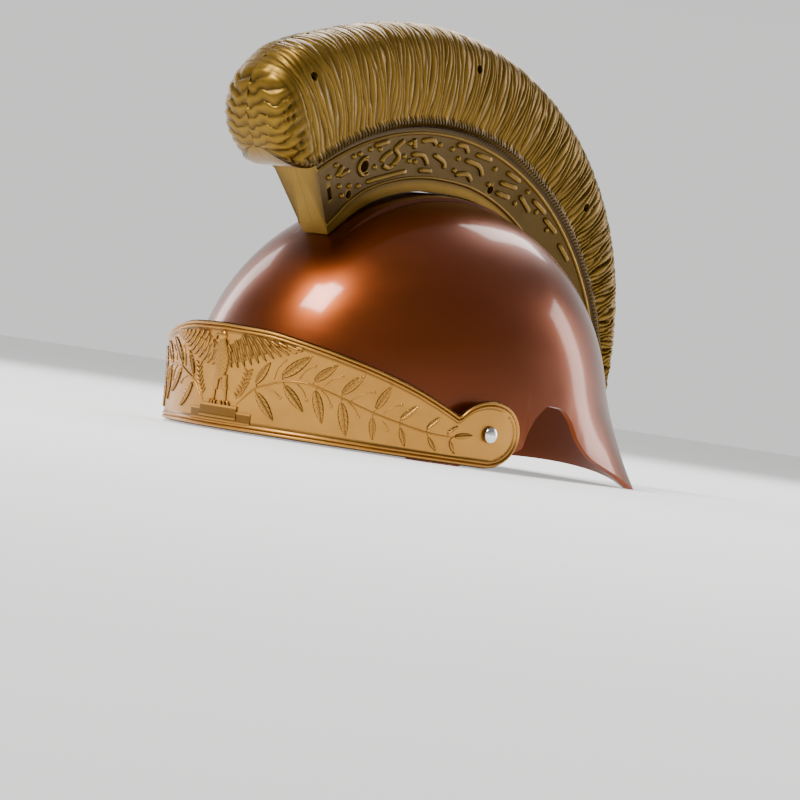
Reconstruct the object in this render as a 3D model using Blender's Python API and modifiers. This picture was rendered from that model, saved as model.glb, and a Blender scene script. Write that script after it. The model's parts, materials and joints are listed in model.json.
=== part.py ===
"""Gladiator helmet of moulded plastic: crown, hinged visor, two rivets and a crest in two halves.

The helmet rests on a table: z = 0 is the table top, the front faces -Y and +X is the wearer's left.
All sizes are in metres.
"""

import math
from collections import namedtuple

import bmesh
import bpy
from mathutils import Vector

# Crown: an ellipsoid over its widest level, a short skirt below it and a flared neck guard
CROWN_HALF_WIDTH = 0.0885
CROWN_FRONT = 0.1208
CROWN_REAR = 0.0980
CROWN_TOP = 0.1224
CROWN_POWER = 2.08
CROWN_WAIST = 0.0164
CROWN_WALL = 0.0025
EAR_TOP = 0.0332
NECK_FLARE = 0.188
NECK_FLARE_START = 0.0440
NECK_FLARE_POWER = 1.6
NECK_CORNER_TURN = 128.0
NECK_ARCH = 0.0080

# Lower rim of the crown from the brow to the corner of the neck guard
# turn in degrees from the front, height as a share of EAR_TOP, flare as a share of NECK_FLARE
Rim = namedtuple("Rim", "turn height flare")
RIM = (
    Rim(0.0, 0.73, 0.0),
    Rim(12.0, 0.72, 0.0),
    Rim(24.0, 0.68, 0.0),
    Rim(34.0, 0.58, 0.0),
    Rim(41.0, 0.40, 0.0),
    Rim(47.0, 0.16, 0.0),
    Rim(52.0, -0.02, 0.0),
    Rim(57.0, -0.02, 0.0),
    Rim(62.0, -0.02, 0.0),
    Rim(67.0, 0.09, 0.0),
    Rim(73.0, 0.20, 0.0),
    Rim(80.0, 0.36, 0.0),
    Rim(81.2, 0.59, 0.0),
    Rim(83.6, 0.83, 0.0),
    Rim(87.3, 0.99, 0.0),
    Rim(91.5, 0.98, 0.0),
    Rim(96.0, 0.86, 0.0),
    Rim(100.5, 0.60, 0.08),
    Rim(104.0, 0.46, 0.17),
    Rim(108.0, 0.35, 0.28),
    Rim(113.0, 0.27, 0.46),
    Rim(118.0, 0.19, 0.68),
    Rim(123.0, 0.10, 0.86),
    Rim(128.0, 0.00, 1.00),
    Rim(133.0, None, 0.86),
    Rim(140.0, None, 0.78),
    Rim(150.0, None, 0.77),
    Rim(160.0, None, 0.77),
    Rim(170.0, None, 0.77),
    Rim(180.0, None, 0.77),
)
CROWN_ROWS_ABOVE = 8
CROWN_ROWS_BELOW = 5
CROWN_BELT = 0.2

# Raised ridge along the middle of the crown, under the crest
RIDGE_HALF_WIDTH = 0.0165
RIDGE_RISE = 0.0014
RIDGE_RUN_IN = 16.0
RIDGE_SINK = 0.0012
RIDGE_CHAMFER = 0.0035
RIDGE_FRONT = -36.0
RIDGE_REAR = 68.0
RIDGE_STATIONS = 22

# Visor: a band bent round the brow, with a disc at each end for the rivet
HINGE_Y = -0.0476
VISOR_SIDE_ROOM = 0.0005
VISOR_FRONT_ROOM = 0.0090
VISOR_STRAIGHT = 0.0112
VISOR_HALF_WIDTH = CROWN_HALF_WIDTH + VISOR_SIDE_ROOM
VISOR_FRONT = CROWN_FRONT + VISOR_FRONT_ROOM
VISOR_PLAN_POWER = 1.88
VISOR_PLAN_BACK = HINGE_Y + VISOR_STRAIGHT
VISOR_EDGE = 0.0012
VISOR_HEIGHT = 0.0467
VISOR_LEAN = 0.07
VISOR_WALL = 0.0020
VISOR_RIM_RISE = 0.0009
VISOR_RIM_PLACE = 0.0012
VISOR_RIM_REACH = 0.0015
VISOR_RIM_WIDTH = 0.0028
VISOR_RIM_ROOM = 0.0084
VISOR_NOTCH_FILLET = 0.003
DISC_RADIUS = 0.0149
DISC_AHEAD = 0.0175
DISC_BEHIND = 0.0200

# Upper edge of the visor, front to notch
# way as a share of the length from the front to the rivet, height as a share of VISOR_HEIGHT
Edge = namedtuple("Edge", "way height")
EDGE = (
    Edge(0.00, 1.000),
    Edge(0.16, 0.985),
    Edge(0.31, 0.925),
    Edge(0.50, 0.812),
    Edge(0.60, 0.736),
    Edge(0.70, 0.645),
    Edge(0.80, 0.532),
    Edge(0.88, 0.435),
    Edge(1.00, 0.310),
)
VISOR_FRONT_COLUMNS = 15
VISOR_ROWS = 4
PLAN_STEPS = 240
DISC_STEP = 15.0

# Raised ornament of the visor: two laurel branches and an eagle on a pedestal between them
# way as a share of the length from the front to the rivet, height and width as shares of VISOR_HEIGHT
RELIEF_RISE = 0.0007
RELIEF_SINK = 0.0008
STEM_HALF_WIDTH = 0.0005
LEAF_SLIMNESS = 0.15
Stem = namedtuple("Stem", "way height")
STEM = (
    Stem(0.077, 0.236),
    Stem(0.140, 0.411),
    Stem(0.192, 0.478),
    Stem(0.243, 0.529),
    Stem(0.294, 0.544),
    Stem(0.345, 0.535),
    Stem(0.449, 0.458),
    Stem(0.560, 0.364),
    Stem(0.655, 0.304),
    Stem(0.757, 0.255),
    Stem(0.848, 0.244),
)
Leaf = namedtuple("Leaf", "way height tip_way tip_height")
LEAVES = (
    Leaf(0.147, 0.469, 0.193, 0.694),
    Leaf(0.239, 0.570, 0.334, 0.809),
    Leaf(0.350, 0.576, 0.423, 0.762),
    Leaf(0.448, 0.497, 0.518, 0.711),
    Leaf(0.568, 0.405, 0.609, 0.645),
    Leaf(0.657, 0.340, 0.711, 0.497),
    Leaf(0.754, 0.293, 0.793, 0.415),
    Leaf(0.833, 0.283, 0.866, 0.362),
    Leaf(0.153, 0.385, 0.226, 0.143),
    Leaf(0.250, 0.493, 0.328, 0.268),
    Leaf(0.358, 0.490, 0.395, 0.182),
    Leaf(0.450, 0.413, 0.480, 0.101),
    Leaf(0.560, 0.319, 0.571, 0.105),
    Leaf(0.660, 0.261, 0.685, 0.081),
    Leaf(0.764, 0.212, 0.798, 0.092),
    Leaf(0.845, 0.203, 0.871, 0.088),
    Leaf(0.861, 0.255, 0.931, 0.293),
)
Wing = namedtuple("Wing", "way low high")
WING = (
    Wing(0.023, 0.589, 0.782),
    Wing(0.061, 0.595, 0.867),
    Wing(0.084, 0.612, 0.925),
    Wing(0.130, 0.664, 0.925),
    Wing(0.184, 0.741, 0.899),
    Wing(0.238, 0.805, 0.887),
    Wing(0.284, 0.857, 0.876),
)
Body = namedtuple("Body", "height width")
EAGLE = (
    Body(0.482, 0.039),
    Body(0.578, 0.073),
    Body(0.685, 0.092),
    Body(0.771, 0.060),
    Body(0.814, 0.041),
    Body(0.878, 0.062),
    Body(0.929, 0.026),
)
LEG = (
    Body(0.220, 0.045),
    Body(0.350, 0.032),
    Body(0.500, 0.042),
)
LEG_WAY = 0.066
WING_RISE = 1.0
EAGLE_RISE = 2.0
LEG_RISE = 1.5
Block = namedtuple("Block", "width low high rise")
PEDESTAL = Block(0.242, 0.092, 0.226, 1.6)
STEP = Block(0.400, 0.056, 0.176, 0.9)
BLOCK_STATIONS = 4

# Rivets: the hinge pins of the visor
HINGE_HEIGHT = VISOR_EDGE + DISC_RADIUS
SHANK_RADIUS = 0.0020
HOLE_CLEARANCE = 0.00035
HEAD_RADIUS = 0.0040
HEAD_HEIGHT = 0.0024
TAIL_RADIUS = 0.0032
TAIL_THICKNESS = 0.0012
SEAT_CLEARANCE = 0.0003
BOSS_RADIUS = 0.0065
RIVET_SIDES = 18
DOME_STEPS = 3

# Crest: every section is a radial plane about one centre behind the brow
CREST_Y = -0.0166
CREST_Z = 0.0028
BAND_ABOVE_CROWN = 0.0311
BRUSH_HEIGHT = 0.0465
BRUSH_HALF_WIDTH = 0.0210
ROPE_RADIUS = CROWN_TOP + BAND_ABOVE_CROWN
CREST_RADIUS = ROPE_RADIUS + BRUSH_HEIGHT
ROPE_RISE = 0.0016
ROPE_BULGE = 0.0010
BAND_TOP_DROP = 0.0060
LIP_HIGH_RADIUS = ROPE_RADIUS - BAND_TOP_DROP
LIP_RISE = 0.0008
BAND_HALF_WIDTH = 0.0134
BAND_NARROW_FROM = 0.8
FOOT_HALF_WIDTH = 0.0076
FOOT_CLEARANCE = 0.0003
FOOT_ARCH = 0.0010
FOOT_ARCH_TURN = -14.0
FOOT_ARCH_SPREAD = 16.0
CREST_WALL = 0.0020
SEAM_GAP = 0.0003
POST_TURN = -36.3
HEAD_TURN = -43.0
HEAD_CENTRE_SHARE = 0.355
HOLLOW_SHARE = 0.96
HOLLOW_BACK = 0.9
HOLLOW_STEP = 0.05
HEAD_POWER = 1.8
HEAD_WIDTH_POWER = 3.6
HEAD_STEPS = 6
TAIL_TURN = 72.0
TAIL_LENGTH = 7.0
TAIL_STEPS = 4

# Crest from the post to the tail
# turn in degrees from upright, outer as a share of BRUSH_HEIGHT over the rope,
# lip as a share of the band's height over the foot, width as a share of BRUSH_HALF_WIDTH
Crest = namedtuple("Crest", "turn outer lip width")
CREST = (
    Crest(-36.3, 1.060, 0.142, 1.000),
    Crest(-33.0, 1.108, 0.170, 1.000),
    Crest(-29.0, 1.077, 0.223, 0.995),
    Crest(-22.0, 1.009, 0.246, 0.985),
    Crest(-12.0, 0.974, 0.241, 0.960),
    Crest(-2.0, 0.957, 0.241, 0.930),
    Crest(8.0, 0.927, 0.234, 0.890),
    Crest(18.0, 0.884, 0.195, 0.850),
    Crest(28.0, 0.824, 0.163, 0.800),
    Crest(38.0, 0.738, 0.153, 0.745),
    Crest(47.0, 0.626, 0.175, 0.690),
    Crest(56.0, 0.475, 0.224, 0.630),
    Crest(62.0, 0.346, 0.258, 0.580),
    Crest(68.0, 0.217, 0.293, 0.530),
    Crest(72.0, 0.127, 0.311, 0.480),
)
CREST_STATIONS = 21

# Half outline of the brush, from the seam at the top down to the rope
# width as a share of the half width, height as a share of the brush's height over the rope
Brush = namedtuple("Brush", "width height")
BRUSH = (
    Brush(0.00, 1.000),
    Brush(0.30, 0.988),
    Brush(0.58, 0.945),
    Brush(0.80, 0.860),
    Brush(0.94, 0.730),
    Brush(1.00, 0.560),
    Brush(0.99, 0.370),
    Brush(0.93, 0.190),
    Brush(0.84, 0.050),
)

# Holes in the crest: turn in degrees, share of the height of the part that it is in
SCREW_HOLE_RADIUS = 0.0021
PIN_HOLE_RADIUS = 0.0020
EYE_HOLE_RADIUS = 0.0028
Hole = namedtuple("Hole", "turn part share radius")
HOLES = (
    Hole(-33.2, "brush", 0.719, SCREW_HOLE_RADIUS),
    Hole(2.3, "brush", 0.625, SCREW_HOLE_RADIUS),
    Hole(39.4, "brush", 0.387, SCREW_HOLE_RADIUS),
    Hole(-28.2, "band", 0.340, PIN_HOLE_RADIUS),
    Hole(16.6, "band", 0.361, PIN_HOLE_RADIUS),
    Hole(-23.2, "band", 0.640, EYE_HOLE_RADIUS),
)
SLOT_TURN = -33.9
SLOT_SHARE = 0.550
SLOT_WIDTH = 0.0026
SLOT_HEIGHT = 0.0062
HOLE_SIDES = 10

COLLECTION = "gladiator_helmet"
ORIGIN_NAME = "helmet_origin"
MERGE = 0.00001
PROBE = 0.001
CUT_MARGIN = 0.015
SHARP_ANGLE = 35.0


def mix(table, column, at):
    """Value of a table's column at a place in its first column, through a smooth cubic."""
    number = table[0]._fields.index(column)
    xs = [row[0] for row in table]
    ys = [row[number] for row in table]
    last = len(xs) - 1
    if at <= xs[0]:
        return ys[0]
    if at >= xs[last]:
        return ys[last]
    k = max(i for i in range(last) if xs[i] <= at)
    step = xs[k + 1] - xs[k]
    t = (at - xs[k]) / step
    chord = (ys[k + 1] - ys[k]) / step

    def slope(i):
        if i == 0 or i == last:
            return (ys[1] - ys[0]) / (xs[1] - xs[0]) if i == 0 else chord
        before = (ys[i] - ys[i - 1]) / (xs[i] - xs[i - 1])
        after = (ys[i + 1] - ys[i]) / (xs[i + 1] - xs[i])
        if before * after <= 0:
            return 0.0
        return 2 * before * after / (before + after)

    m0 = slope(k) * step
    m1 = slope(k + 1) * step
    t2 = t * t
    t3 = t2 * t
    return (
        (2 * t3 - 3 * t2 + 1) * ys[k]
        + (t3 - 2 * t2 + t) * m0
        + (3 * t2 - 2 * t3) * ys[k + 1]
        + (t3 - t2) * m1
    )


def origin_shift():
    """Shift along Y that puts the middle of the helmet's length over the origin."""
    places = [crest_point(turn, radius).y for turn, rows in crest_stations() for _, radius in rows]
    return -(min(places) + max(places)) / 2


def clear_scene():
    for old in list(bpy.data.objects):
        bpy.data.objects.remove(old)


def make_collection(name):
    made = bpy.data.collections.new(name)
    bpy.context.scene.collection.children.link(made)
    return made


def make_material(name, colour, metallic, roughness):
    made = bpy.data.materials.new(name)
    made.use_nodes = True
    shader = made.node_tree.nodes["Principled BSDF"]
    shader.inputs["Base Color"].default_value = (*colour, 1.0)
    shader.inputs["Metallic"].default_value = metallic
    shader.inputs["Roughness"].default_value = roughness
    made.diffuse_color = (*colour, 1.0)
    return made


def add_object(name, bm, home, material=None, place=(0.0, 0.0, 0.0)):
    """Make an object from a bmesh, with its own origin at a place."""
    bmesh.ops.remove_doubles(bm, verts=bm.verts, dist=MERGE)
    bmesh.ops.dissolve_degenerate(bm, edges=bm.edges, dist=MERGE)
    mesh = bpy.data.meshes.new(name)
    bmesh.ops.translate(bm, vec=-Vector(place), verts=bm.verts)
    bm.to_mesh(mesh)
    bm.free()
    made = bpy.data.objects.new(name, mesh)
    made.location = place
    made.parent = bpy.data.objects[ORIGIN_NAME]
    home.objects.link(made)
    if material:
        mesh.materials.append(material)
        mesh.shade_smooth()
        mesh.set_sharp_from_angle(angle=math.radians(SHARP_ANGLE))
    else:
        made.hide_render = True
        made.display_type = "WIRE"
    return made


def grid_faces(bm, rows, closed=False):
    """Bridge rows of points with quads, each row a list of the same length."""
    made = [[bm.verts.new(p) for p in row] for row in rows]
    last = len(made) if closed else len(made) - 1
    for i in range(last):
        a = made[i]
        b = made[(i + 1) % len(made)]
        for j in range(len(a) - 1):
            bm.faces.new((a[j], a[j + 1], b[j + 1], b[j]))
    return made


def solid_faces(bm, rings):
    """A closed solid through rings of the same length, with a cap at each end."""
    made = [[bm.verts.new(p) for p in ring] for ring in rings]
    count = len(made[0])
    for a, b in zip(made, made[1:]):
        for j in range(count):
            k = (j + 1) % count
            bm.faces.new((a[j], a[k], b[k], b[j]))
    bm.faces.new(made[0][::-1])
    bm.faces.new(made[-1])
    bmesh.ops.recalc_face_normals(bm, faces=bm.faces)
    return made


def boolean(target, cutter, operation):
    made = target.modifiers.new(operation.lower() + " " + cutter.name, "BOOLEAN")
    made.operation = operation
    made.object = cutter
    made.solver = "EXACT"
    return made


def solidify(target, wall):
    made = target.modifiers.new("wall", "SOLIDIFY")
    made.thickness = wall
    made.offset = -1.0
    made.use_even_offset = True
    return made


def mirror(target):
    made = target.modifiers.new("other side", "MIRROR")
    made.use_axis = (True, False, False)
    made.use_clip = True
    made.merge_threshold = MERGE
    return made


def rim_height(turn):
    """Height of the crown's lower rim at a turn from the front, in degrees."""
    if turn <= NECK_CORNER_TURN:
        rows = [row for row in RIM if row.height is not None]
        return mix(rows, "height", turn) * EAR_TOP
    reach = math.sin(math.radians(turn)) / math.sin(math.radians(NECK_CORNER_TURN))
    return NECK_ARCH * (1 - reach * reach)


def rim_flare(turn):
    """Share by which the neck guard stands out at a turn from the front."""
    if turn <= NECK_CORNER_TURN:
        rows = [row for row in RIM if row.turn <= NECK_CORNER_TURN]
    else:
        rows = [row for row in RIM if row.turn >= NECK_CORNER_TURN]
    return mix(rows, "flare", turn) * NECK_FLARE


def crown_point(turn, level):
    """Point of the crown's outer face: level 1 is the top, 0 the waist and -1 the table."""
    angle = math.radians(turn)
    if level >= 0:
        rise = math.sin(level * math.pi / 2) ** (2 / CROWN_POWER)
        height = CROWN_WAIST + (CROWN_TOP - CROWN_WAIST) * rise
        share = max(0.0, math.cos(level * math.pi / 2)) ** (2 / CROWN_POWER)
    else:
        height = CROWN_WAIST * (1 + level)
        share = 1.0
    if height < NECK_FLARE_START:
        drop = (NECK_FLARE_START - height) / NECK_FLARE_START
        share += rim_flare(turn) * drop**NECK_FLARE_POWER
    length = CROWN_FRONT if turn <= 90 else CROWN_REAR
    x = CROWN_HALF_WIDTH * share * math.sin(angle)
    return Vector((max(x, 0.0), -length * share * math.cos(angle), height))


def crown_level(height):
    if height < CROWN_WAIST:
        return height / CROWN_WAIST - 1
    rise = (height - CROWN_WAIST) / (CROWN_TOP - CROWN_WAIST)
    return math.asin(rise ** (CROWN_POWER / 2)) * 2 / math.pi


def crown_side(y, x=0.0):
    """Height of the crown's outer face over a point of the plan."""
    length = CROWN_FRONT if y < 0 else CROWN_REAR
    share = math.hypot(y / length, x / CROWN_HALF_WIDTH)
    rise = max(0.0, 1 - share**CROWN_POWER) ** (1 / CROWN_POWER)
    return CROWN_WAIST + (CROWN_TOP - CROWN_WAIST) * rise


def crown_reach(y):
    """Half width of the crown at its waist, at a place along it."""
    length = CROWN_FRONT if y < 0 else CROWN_REAR
    return CROWN_HALF_WIDTH * math.sqrt(max(0.0, 1 - (y / length) ** 2))


def crest_point(turn, radius, x=0.0):
    angle = math.radians(turn)
    return Vector((x, CREST_Y + radius * math.sin(angle), CREST_Z + radius * math.cos(angle)))


def dome_radius(turn, x=0.0):
    """Radius at which a ray of the crest's fan leaves the crown, at a distance from the middle."""
    low = 0.0
    high = CREST_RADIUS
    for _ in range(40):
        middle = (low + high) / 2
        point = crest_point(turn, middle)
        if point.z < crown_side(point.y, x):
            low = middle
        else:
            high = middle
    return low


def build_crown(home, cutters, material):
    bm = bmesh.new()
    columns = []
    for row in RIM:
        bottom = crown_level(rim_height(row.turn))
        levels = [1 - (1 - CROWN_BELT) * i / CROWN_ROWS_ABOVE for i in range(CROWN_ROWS_ABOVE)]
        for i in range(CROWN_ROWS_BELOW + 1):
            levels.append(CROWN_BELT + (bottom - CROWN_BELT) * i / CROWN_ROWS_BELOW)
        columns.append([crown_point(row.turn, level) for level in levels])
    grid_faces(bm, columns)
    bmesh.ops.recalc_face_normals(bm, faces=bm.faces)
    crown = add_object("crown", bm, home, material)
    mirror(crown)
    solidify(crown, CROWN_WALL)
    boolean(crown, build_ridge(cutters), "UNION")
    boolean(crown, build_bosses(cutters), "UNION")
    boolean(crown, build_pin_cutter(cutters, "crown holes"), "DIFFERENCE")
    boolean(crown, build_table(cutters), "DIFFERENCE")
    return crown


def ridge_rise(turn):
    """Height of the ridge over the crown, which rises from nothing at its front."""
    t = min(1.0, max(0.0, (turn - RIDGE_FRONT) / RIDGE_RUN_IN))
    return RIDGE_RISE * t * t * (3 - 2 * t)


def build_ridge(cutters):
    """A low strip that follows the crown, with its underside inside the wall."""
    bm = bmesh.new()
    rings = []
    inner = RIDGE_HALF_WIDTH - RIDGE_CHAMFER
    for i in range(RIDGE_STATIONS + 1):
        turn = RIDGE_FRONT + (RIDGE_REAR - RIDGE_FRONT) * i / RIDGE_STATIONS
        rise = ridge_rise(turn)
        section = (
            (-RIDGE_HALF_WIDTH, -RIDGE_SINK),
            (-inner, rise),
            (0.0, rise),
            (inner, rise),
            (RIDGE_HALF_WIDTH, -RIDGE_SINK),
            (0.0, -RIDGE_SINK),
        )
        rings.append([crest_point(turn, dome_radius(turn, x) + lift, x) for x, lift in section])
    solid_faces(bm, rings)
    return add_object("ridge", bm, cutters)


def add_cylinder(bm, start, end, radius, sides):
    """A closed cylinder between two points on a line along X."""
    rings = []
    for x in (start, end):
        ring = []
        for i in range(sides):
            angle = 2 * math.pi * i / sides
            ring.append((x, HINGE_Y + radius * math.cos(angle), HINGE_HEIGHT + radius * math.sin(angle)))
        rings.append(ring)
    return solid_faces(bm, rings)


def visor_tilt_reach(radius):
    """How far the visor's face leans within a radius of the hinge."""
    ahead = visor_plan_x(HINGE_Y - PROBE)
    behind = visor_plan_x(HINGE_Y + PROBE)
    slope = (behind - ahead) / (2 * PROBE)
    return radius * math.hypot(slope, VISOR_LEAN)


def hinge_face():
    """Distance from the middle plane to the visor's outer face at the hinge."""
    return visor_plan_x(HINGE_Y) + VISOR_LEAN * DISC_RADIUS


def build_bosses(cutters):
    bm = bmesh.new()
    inner = crown_reach(HINGE_Y) - CROWN_WALL / 2
    outer = hinge_face() - VISOR_WALL - visor_tilt_reach(BOSS_RADIUS) - SEAT_CLEARANCE
    for side in (-1, 1):
        ends = sorted((side * inner, side * outer))
        add_cylinder(bm, ends[0], ends[1], BOSS_RADIUS, RIVET_SIDES)
    return add_object("bosses", bm, cutters)


def build_table(cutters):
    """A box under the table's top, which trims the lobes and the neck guard flat."""
    reach = 4 * CROWN_FRONT
    bm = bmesh.new()
    bmesh.ops.create_cube(bm, size=1.0)
    bmesh.ops.scale(bm, vec=(reach, reach, CUT_MARGIN), verts=bm.verts)
    bmesh.ops.translate(bm, vec=(0.0, 0.0, -CUT_MARGIN / 2), verts=bm.verts)
    return add_object("table trim", bm, cutters)


def build_pin_cutter(cutters, name):
    bm = bmesh.new()
    inner = crown_reach(HINGE_Y) - CUT_MARGIN
    outer = hinge_face() + CUT_MARGIN
    for side in (-1, 1):
        ends = sorted((side * inner, side * outer))
        add_cylinder(bm, ends[0], ends[1], SHANK_RADIUS + HOLE_CLEARANCE, RIVET_SIDES)
    return add_object(name, bm, cutters)


def visor_plan_x(y):
    """Half width of the visor's outer face at its lower edge, at a place along it."""
    if y >= VISOR_PLAN_BACK:
        return VISOR_HALF_WIDTH
    share = min(1.0, (VISOR_PLAN_BACK - y) / (VISOR_FRONT + VISOR_PLAN_BACK))
    return VISOR_HALF_WIDTH * (1 - share**VISOR_PLAN_POWER) ** (1 / VISOR_PLAN_POWER)


def visor_plan():
    """The visor's plan as (arc length, x, y) from the front to behind the hinge."""
    points = []
    depth = VISOR_FRONT + VISOR_PLAN_BACK
    for i in range(PLAN_STEPS + 1):
        angle = math.pi / 2 * i / PLAN_STEPS
        x = VISOR_HALF_WIDTH * math.sin(angle) ** (2 / VISOR_PLAN_POWER)
        y = VISOR_PLAN_BACK - depth * max(math.cos(angle), 0.0) ** (2 / VISOR_PLAN_POWER)
        points.append((x, y))
    points.append((VISOR_HALF_WIDTH, VISOR_PLAN_BACK + 3 * DISC_RADIUS))
    arc = 0.0
    plan = [(0.0, *points[0])]
    for before, after in zip(points, points[1:]):
        arc += math.dist(before, after)
        plan.append((arc, *after))
    return plan


def along(plan, arc):
    """Place and outward direction on the plan at an arc length from the front."""
    k = max(i for i in range(len(plan) - 1) if plan[i][0] <= max(arc, 0.0))
    a = plan[k]
    b = plan[k + 1]
    t = (arc - a[0]) / (b[0] - a[0])
    way = Vector((b[1] - a[1], b[2] - a[2])).normalized()
    if arc <= 0:
        way = Vector((1.0, 0.0))
    return Vector((a[1] + (b[1] - a[1]) * t, a[2] + (b[2] - a[2]) * t)), Vector((way.y, -way.x))


def hinge_arc(plan):
    """Arc length from the front to the hinge."""
    k = max(i for i in range(len(plan) - 1) if plan[i][2] <= HINGE_Y)
    a = plan[k]
    b = plan[k + 1]
    return a[0] + (b[0] - a[0]) * (HINGE_Y - a[2]) / (b[2] - a[2])


def visor_point(plan, arc, height, lift=0.0):
    """Point over the visor's outer face: height over its lower edge, lift off the face."""
    place, out = along(plan, arc)
    place = place + out * (VISOR_LEAN * height + lift)
    return Vector((max(place.x, 0.0), place.y, VISOR_EDGE + height))


def visor_top(behind, length):
    """Height of the visor's upper edge at a distance ahead of the hinge."""
    edge = mix(EDGE, "height", 1 - behind / length) * VISOR_HEIGHT
    share = min(1.0, behind / DISC_AHEAD if behind > 0 else -behind / DISC_BEHIND)
    disc = DISC_RADIUS * (1 + math.sqrt(1 - share * share))
    if behind <= 0:
        return disc
    if share == 1.0:
        return edge
    fillet = VISOR_NOTCH_FILLET * share
    return (edge + disc + math.hypot(edge - disc, fillet)) / 2


def visor_bottom(behind):
    if behind >= 0:
        return 0.0
    share = min(1.0, -behind / DISC_BEHIND)
    return DISC_RADIUS * (1 - math.sqrt(1 - share * share))


def rim_rise(distance):
    return VISOR_RIM_RISE * max(0.0, 1 - abs(distance - VISOR_RIM_PLACE) / VISOR_RIM_REACH)


def visor_column(plan, behind, length):
    """Points of the visor's outer face from the lower to the upper edge."""
    bottom = visor_bottom(behind)
    top = visor_top(behind, length)
    tall = top - bottom
    scale = min(1.0, tall / VISOR_RIM_ROOM)
    near = [0.0, VISOR_RIM_PLACE * scale, VISOR_RIM_WIDTH * scale]
    inner = [near[-1] + (tall - 2 * near[-1]) * i / VISOR_ROWS for i in range(1, VISOR_ROWS)]
    steps = near + inner + [tall - d for d in reversed(near)]
    column = []
    for step in steps:
        distance = min(step, tall - step)
        if behind < 0:
            across = behind * DISC_RADIUS / DISC_BEHIND
            distance = DISC_RADIUS - math.hypot(across, bottom + step - DISC_RADIUS)
        lift = rim_rise(max(0.0, distance))
        column.append(visor_point(plan, length - behind, bottom + step, lift))
    return column


def build_visor(home, cutters, material):
    plan = visor_plan()
    length = hinge_arc(plan)
    behinds = []
    for i in range(VISOR_FRONT_COLUMNS):
        behinds.append(length - (length - DISC_AHEAD) * i / VISOR_FRONT_COLUMNS)
    for i in range(int(180 / DISC_STEP) + 1):
        share = math.cos(math.radians(DISC_STEP * i))
        behinds.append(share * (DISC_AHEAD if share > 0 else DISC_BEHIND))
    bm = bmesh.new()
    grid_faces(bm, [visor_column(plan, behind, length) for behind in behinds])
    bmesh.ops.recalc_face_normals(bm, faces=bm.faces)
    visor = add_object("visor", bm, home, material, (0.0, HINGE_Y, HINGE_HEIGHT))
    mirror(visor)
    solidify(visor, VISOR_WALL)
    boolean(visor, build_pin_cutter(cutters, "visor holes"), "DIFFERENCE")
    for layer in build_relief(cutters, plan, length):
        boolean(visor, layer, "UNION")
    return visor


def relief_point(plan, length, way, height, lift):
    """Point over the visor's face by shares, with way below 0 on the right side."""
    point = visor_point(plan, abs(way) * length, height * VISOR_HEIGHT, lift)
    return Vector((math.copysign(point.x, way), point.y, point.z))


def raised_rings(plan, length, low_edge, high_edge, rise):
    """Rings of a raised strip between two edges, each a list of (way, height)."""
    rings = []
    for low, high in zip(low_edge, high_edge):
        rings.append(
            [
                relief_point(plan, length, *low, -RELIEF_SINK),
                relief_point(plan, length, *low, rise),
                relief_point(plan, length, *high, rise),
                relief_point(plan, length, *high, -RELIEF_SINK),
            ]
        )
    return rings


def build_leaf(bm, plan, length, side, leaf):
    """A raised leaf that narrows from its middle to its base and to its tip."""
    along_way = (leaf.tip_way - leaf.way) * length
    along_height = (leaf.tip_height - leaf.height) * VISOR_HEIGHT
    reach = math.hypot(along_way, along_height)
    out_way = -along_height / reach / length
    out_height = along_way / reach / VISOR_HEIGHT
    rings = []
    for share, width in ((0.0, 0.25), (0.5, 1.0), (1.0, 0.10)):
        half = width * LEAF_SLIMNESS * reach
        way = leaf.way + share * (leaf.tip_way - leaf.way)
        height = leaf.height + share * (leaf.tip_height - leaf.height)
        ring = []
        for across, lift in ((-1, -RELIEF_SINK), (-1, RELIEF_RISE), (1, RELIEF_RISE), (1, -RELIEF_SINK)):
            shift = across * half
            ring.append(
                relief_point(
                    plan,
                    length,
                    side * (way + shift * out_way),
                    height + shift * out_height,
                    lift,
                )
            )
        rings.append(ring)
    solid_faces(bm, rings)


def strip_object(name, cutters, plan, length, strips, rise):
    """One cutter of raised strips that are clear of each other."""
    bm = bmesh.new()
    for low, high in strips:
        solid_faces(bm, raised_rings(plan, length, low, high, rise))
    return add_object(name, bm, cutters)


def block_strip(block, to_way):
    half = block.width * to_way
    ways = [half * (2 * i / BLOCK_STATIONS - 1) for i in range(BLOCK_STATIONS + 1)]
    return [(way, block.low) for way in ways], [(way, block.high) for way in ways]


def upright_strip(rows, centre, to_way):
    low = [(centre - row.width * to_way, row.height) for row in rows]
    high = [(centre + row.width * to_way, row.height) for row in rows]
    return low, high


def build_branches(cutters, plan, length):
    bm = bmesh.new()
    half = STEM_HALF_WIDTH / VISOR_HEIGHT
    for side in (-1, 1):
        low = [(side * row.way, row.height - half) for row in STEM]
        high = [(side * row.way, row.height + half) for row in STEM]
        solid_faces(bm, raised_rings(plan, length, low, high, RELIEF_RISE))
        for leaf in LEAVES:
            build_leaf(bm, plan, length, side, leaf)
    return add_object("branches", bm, cutters)


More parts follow.
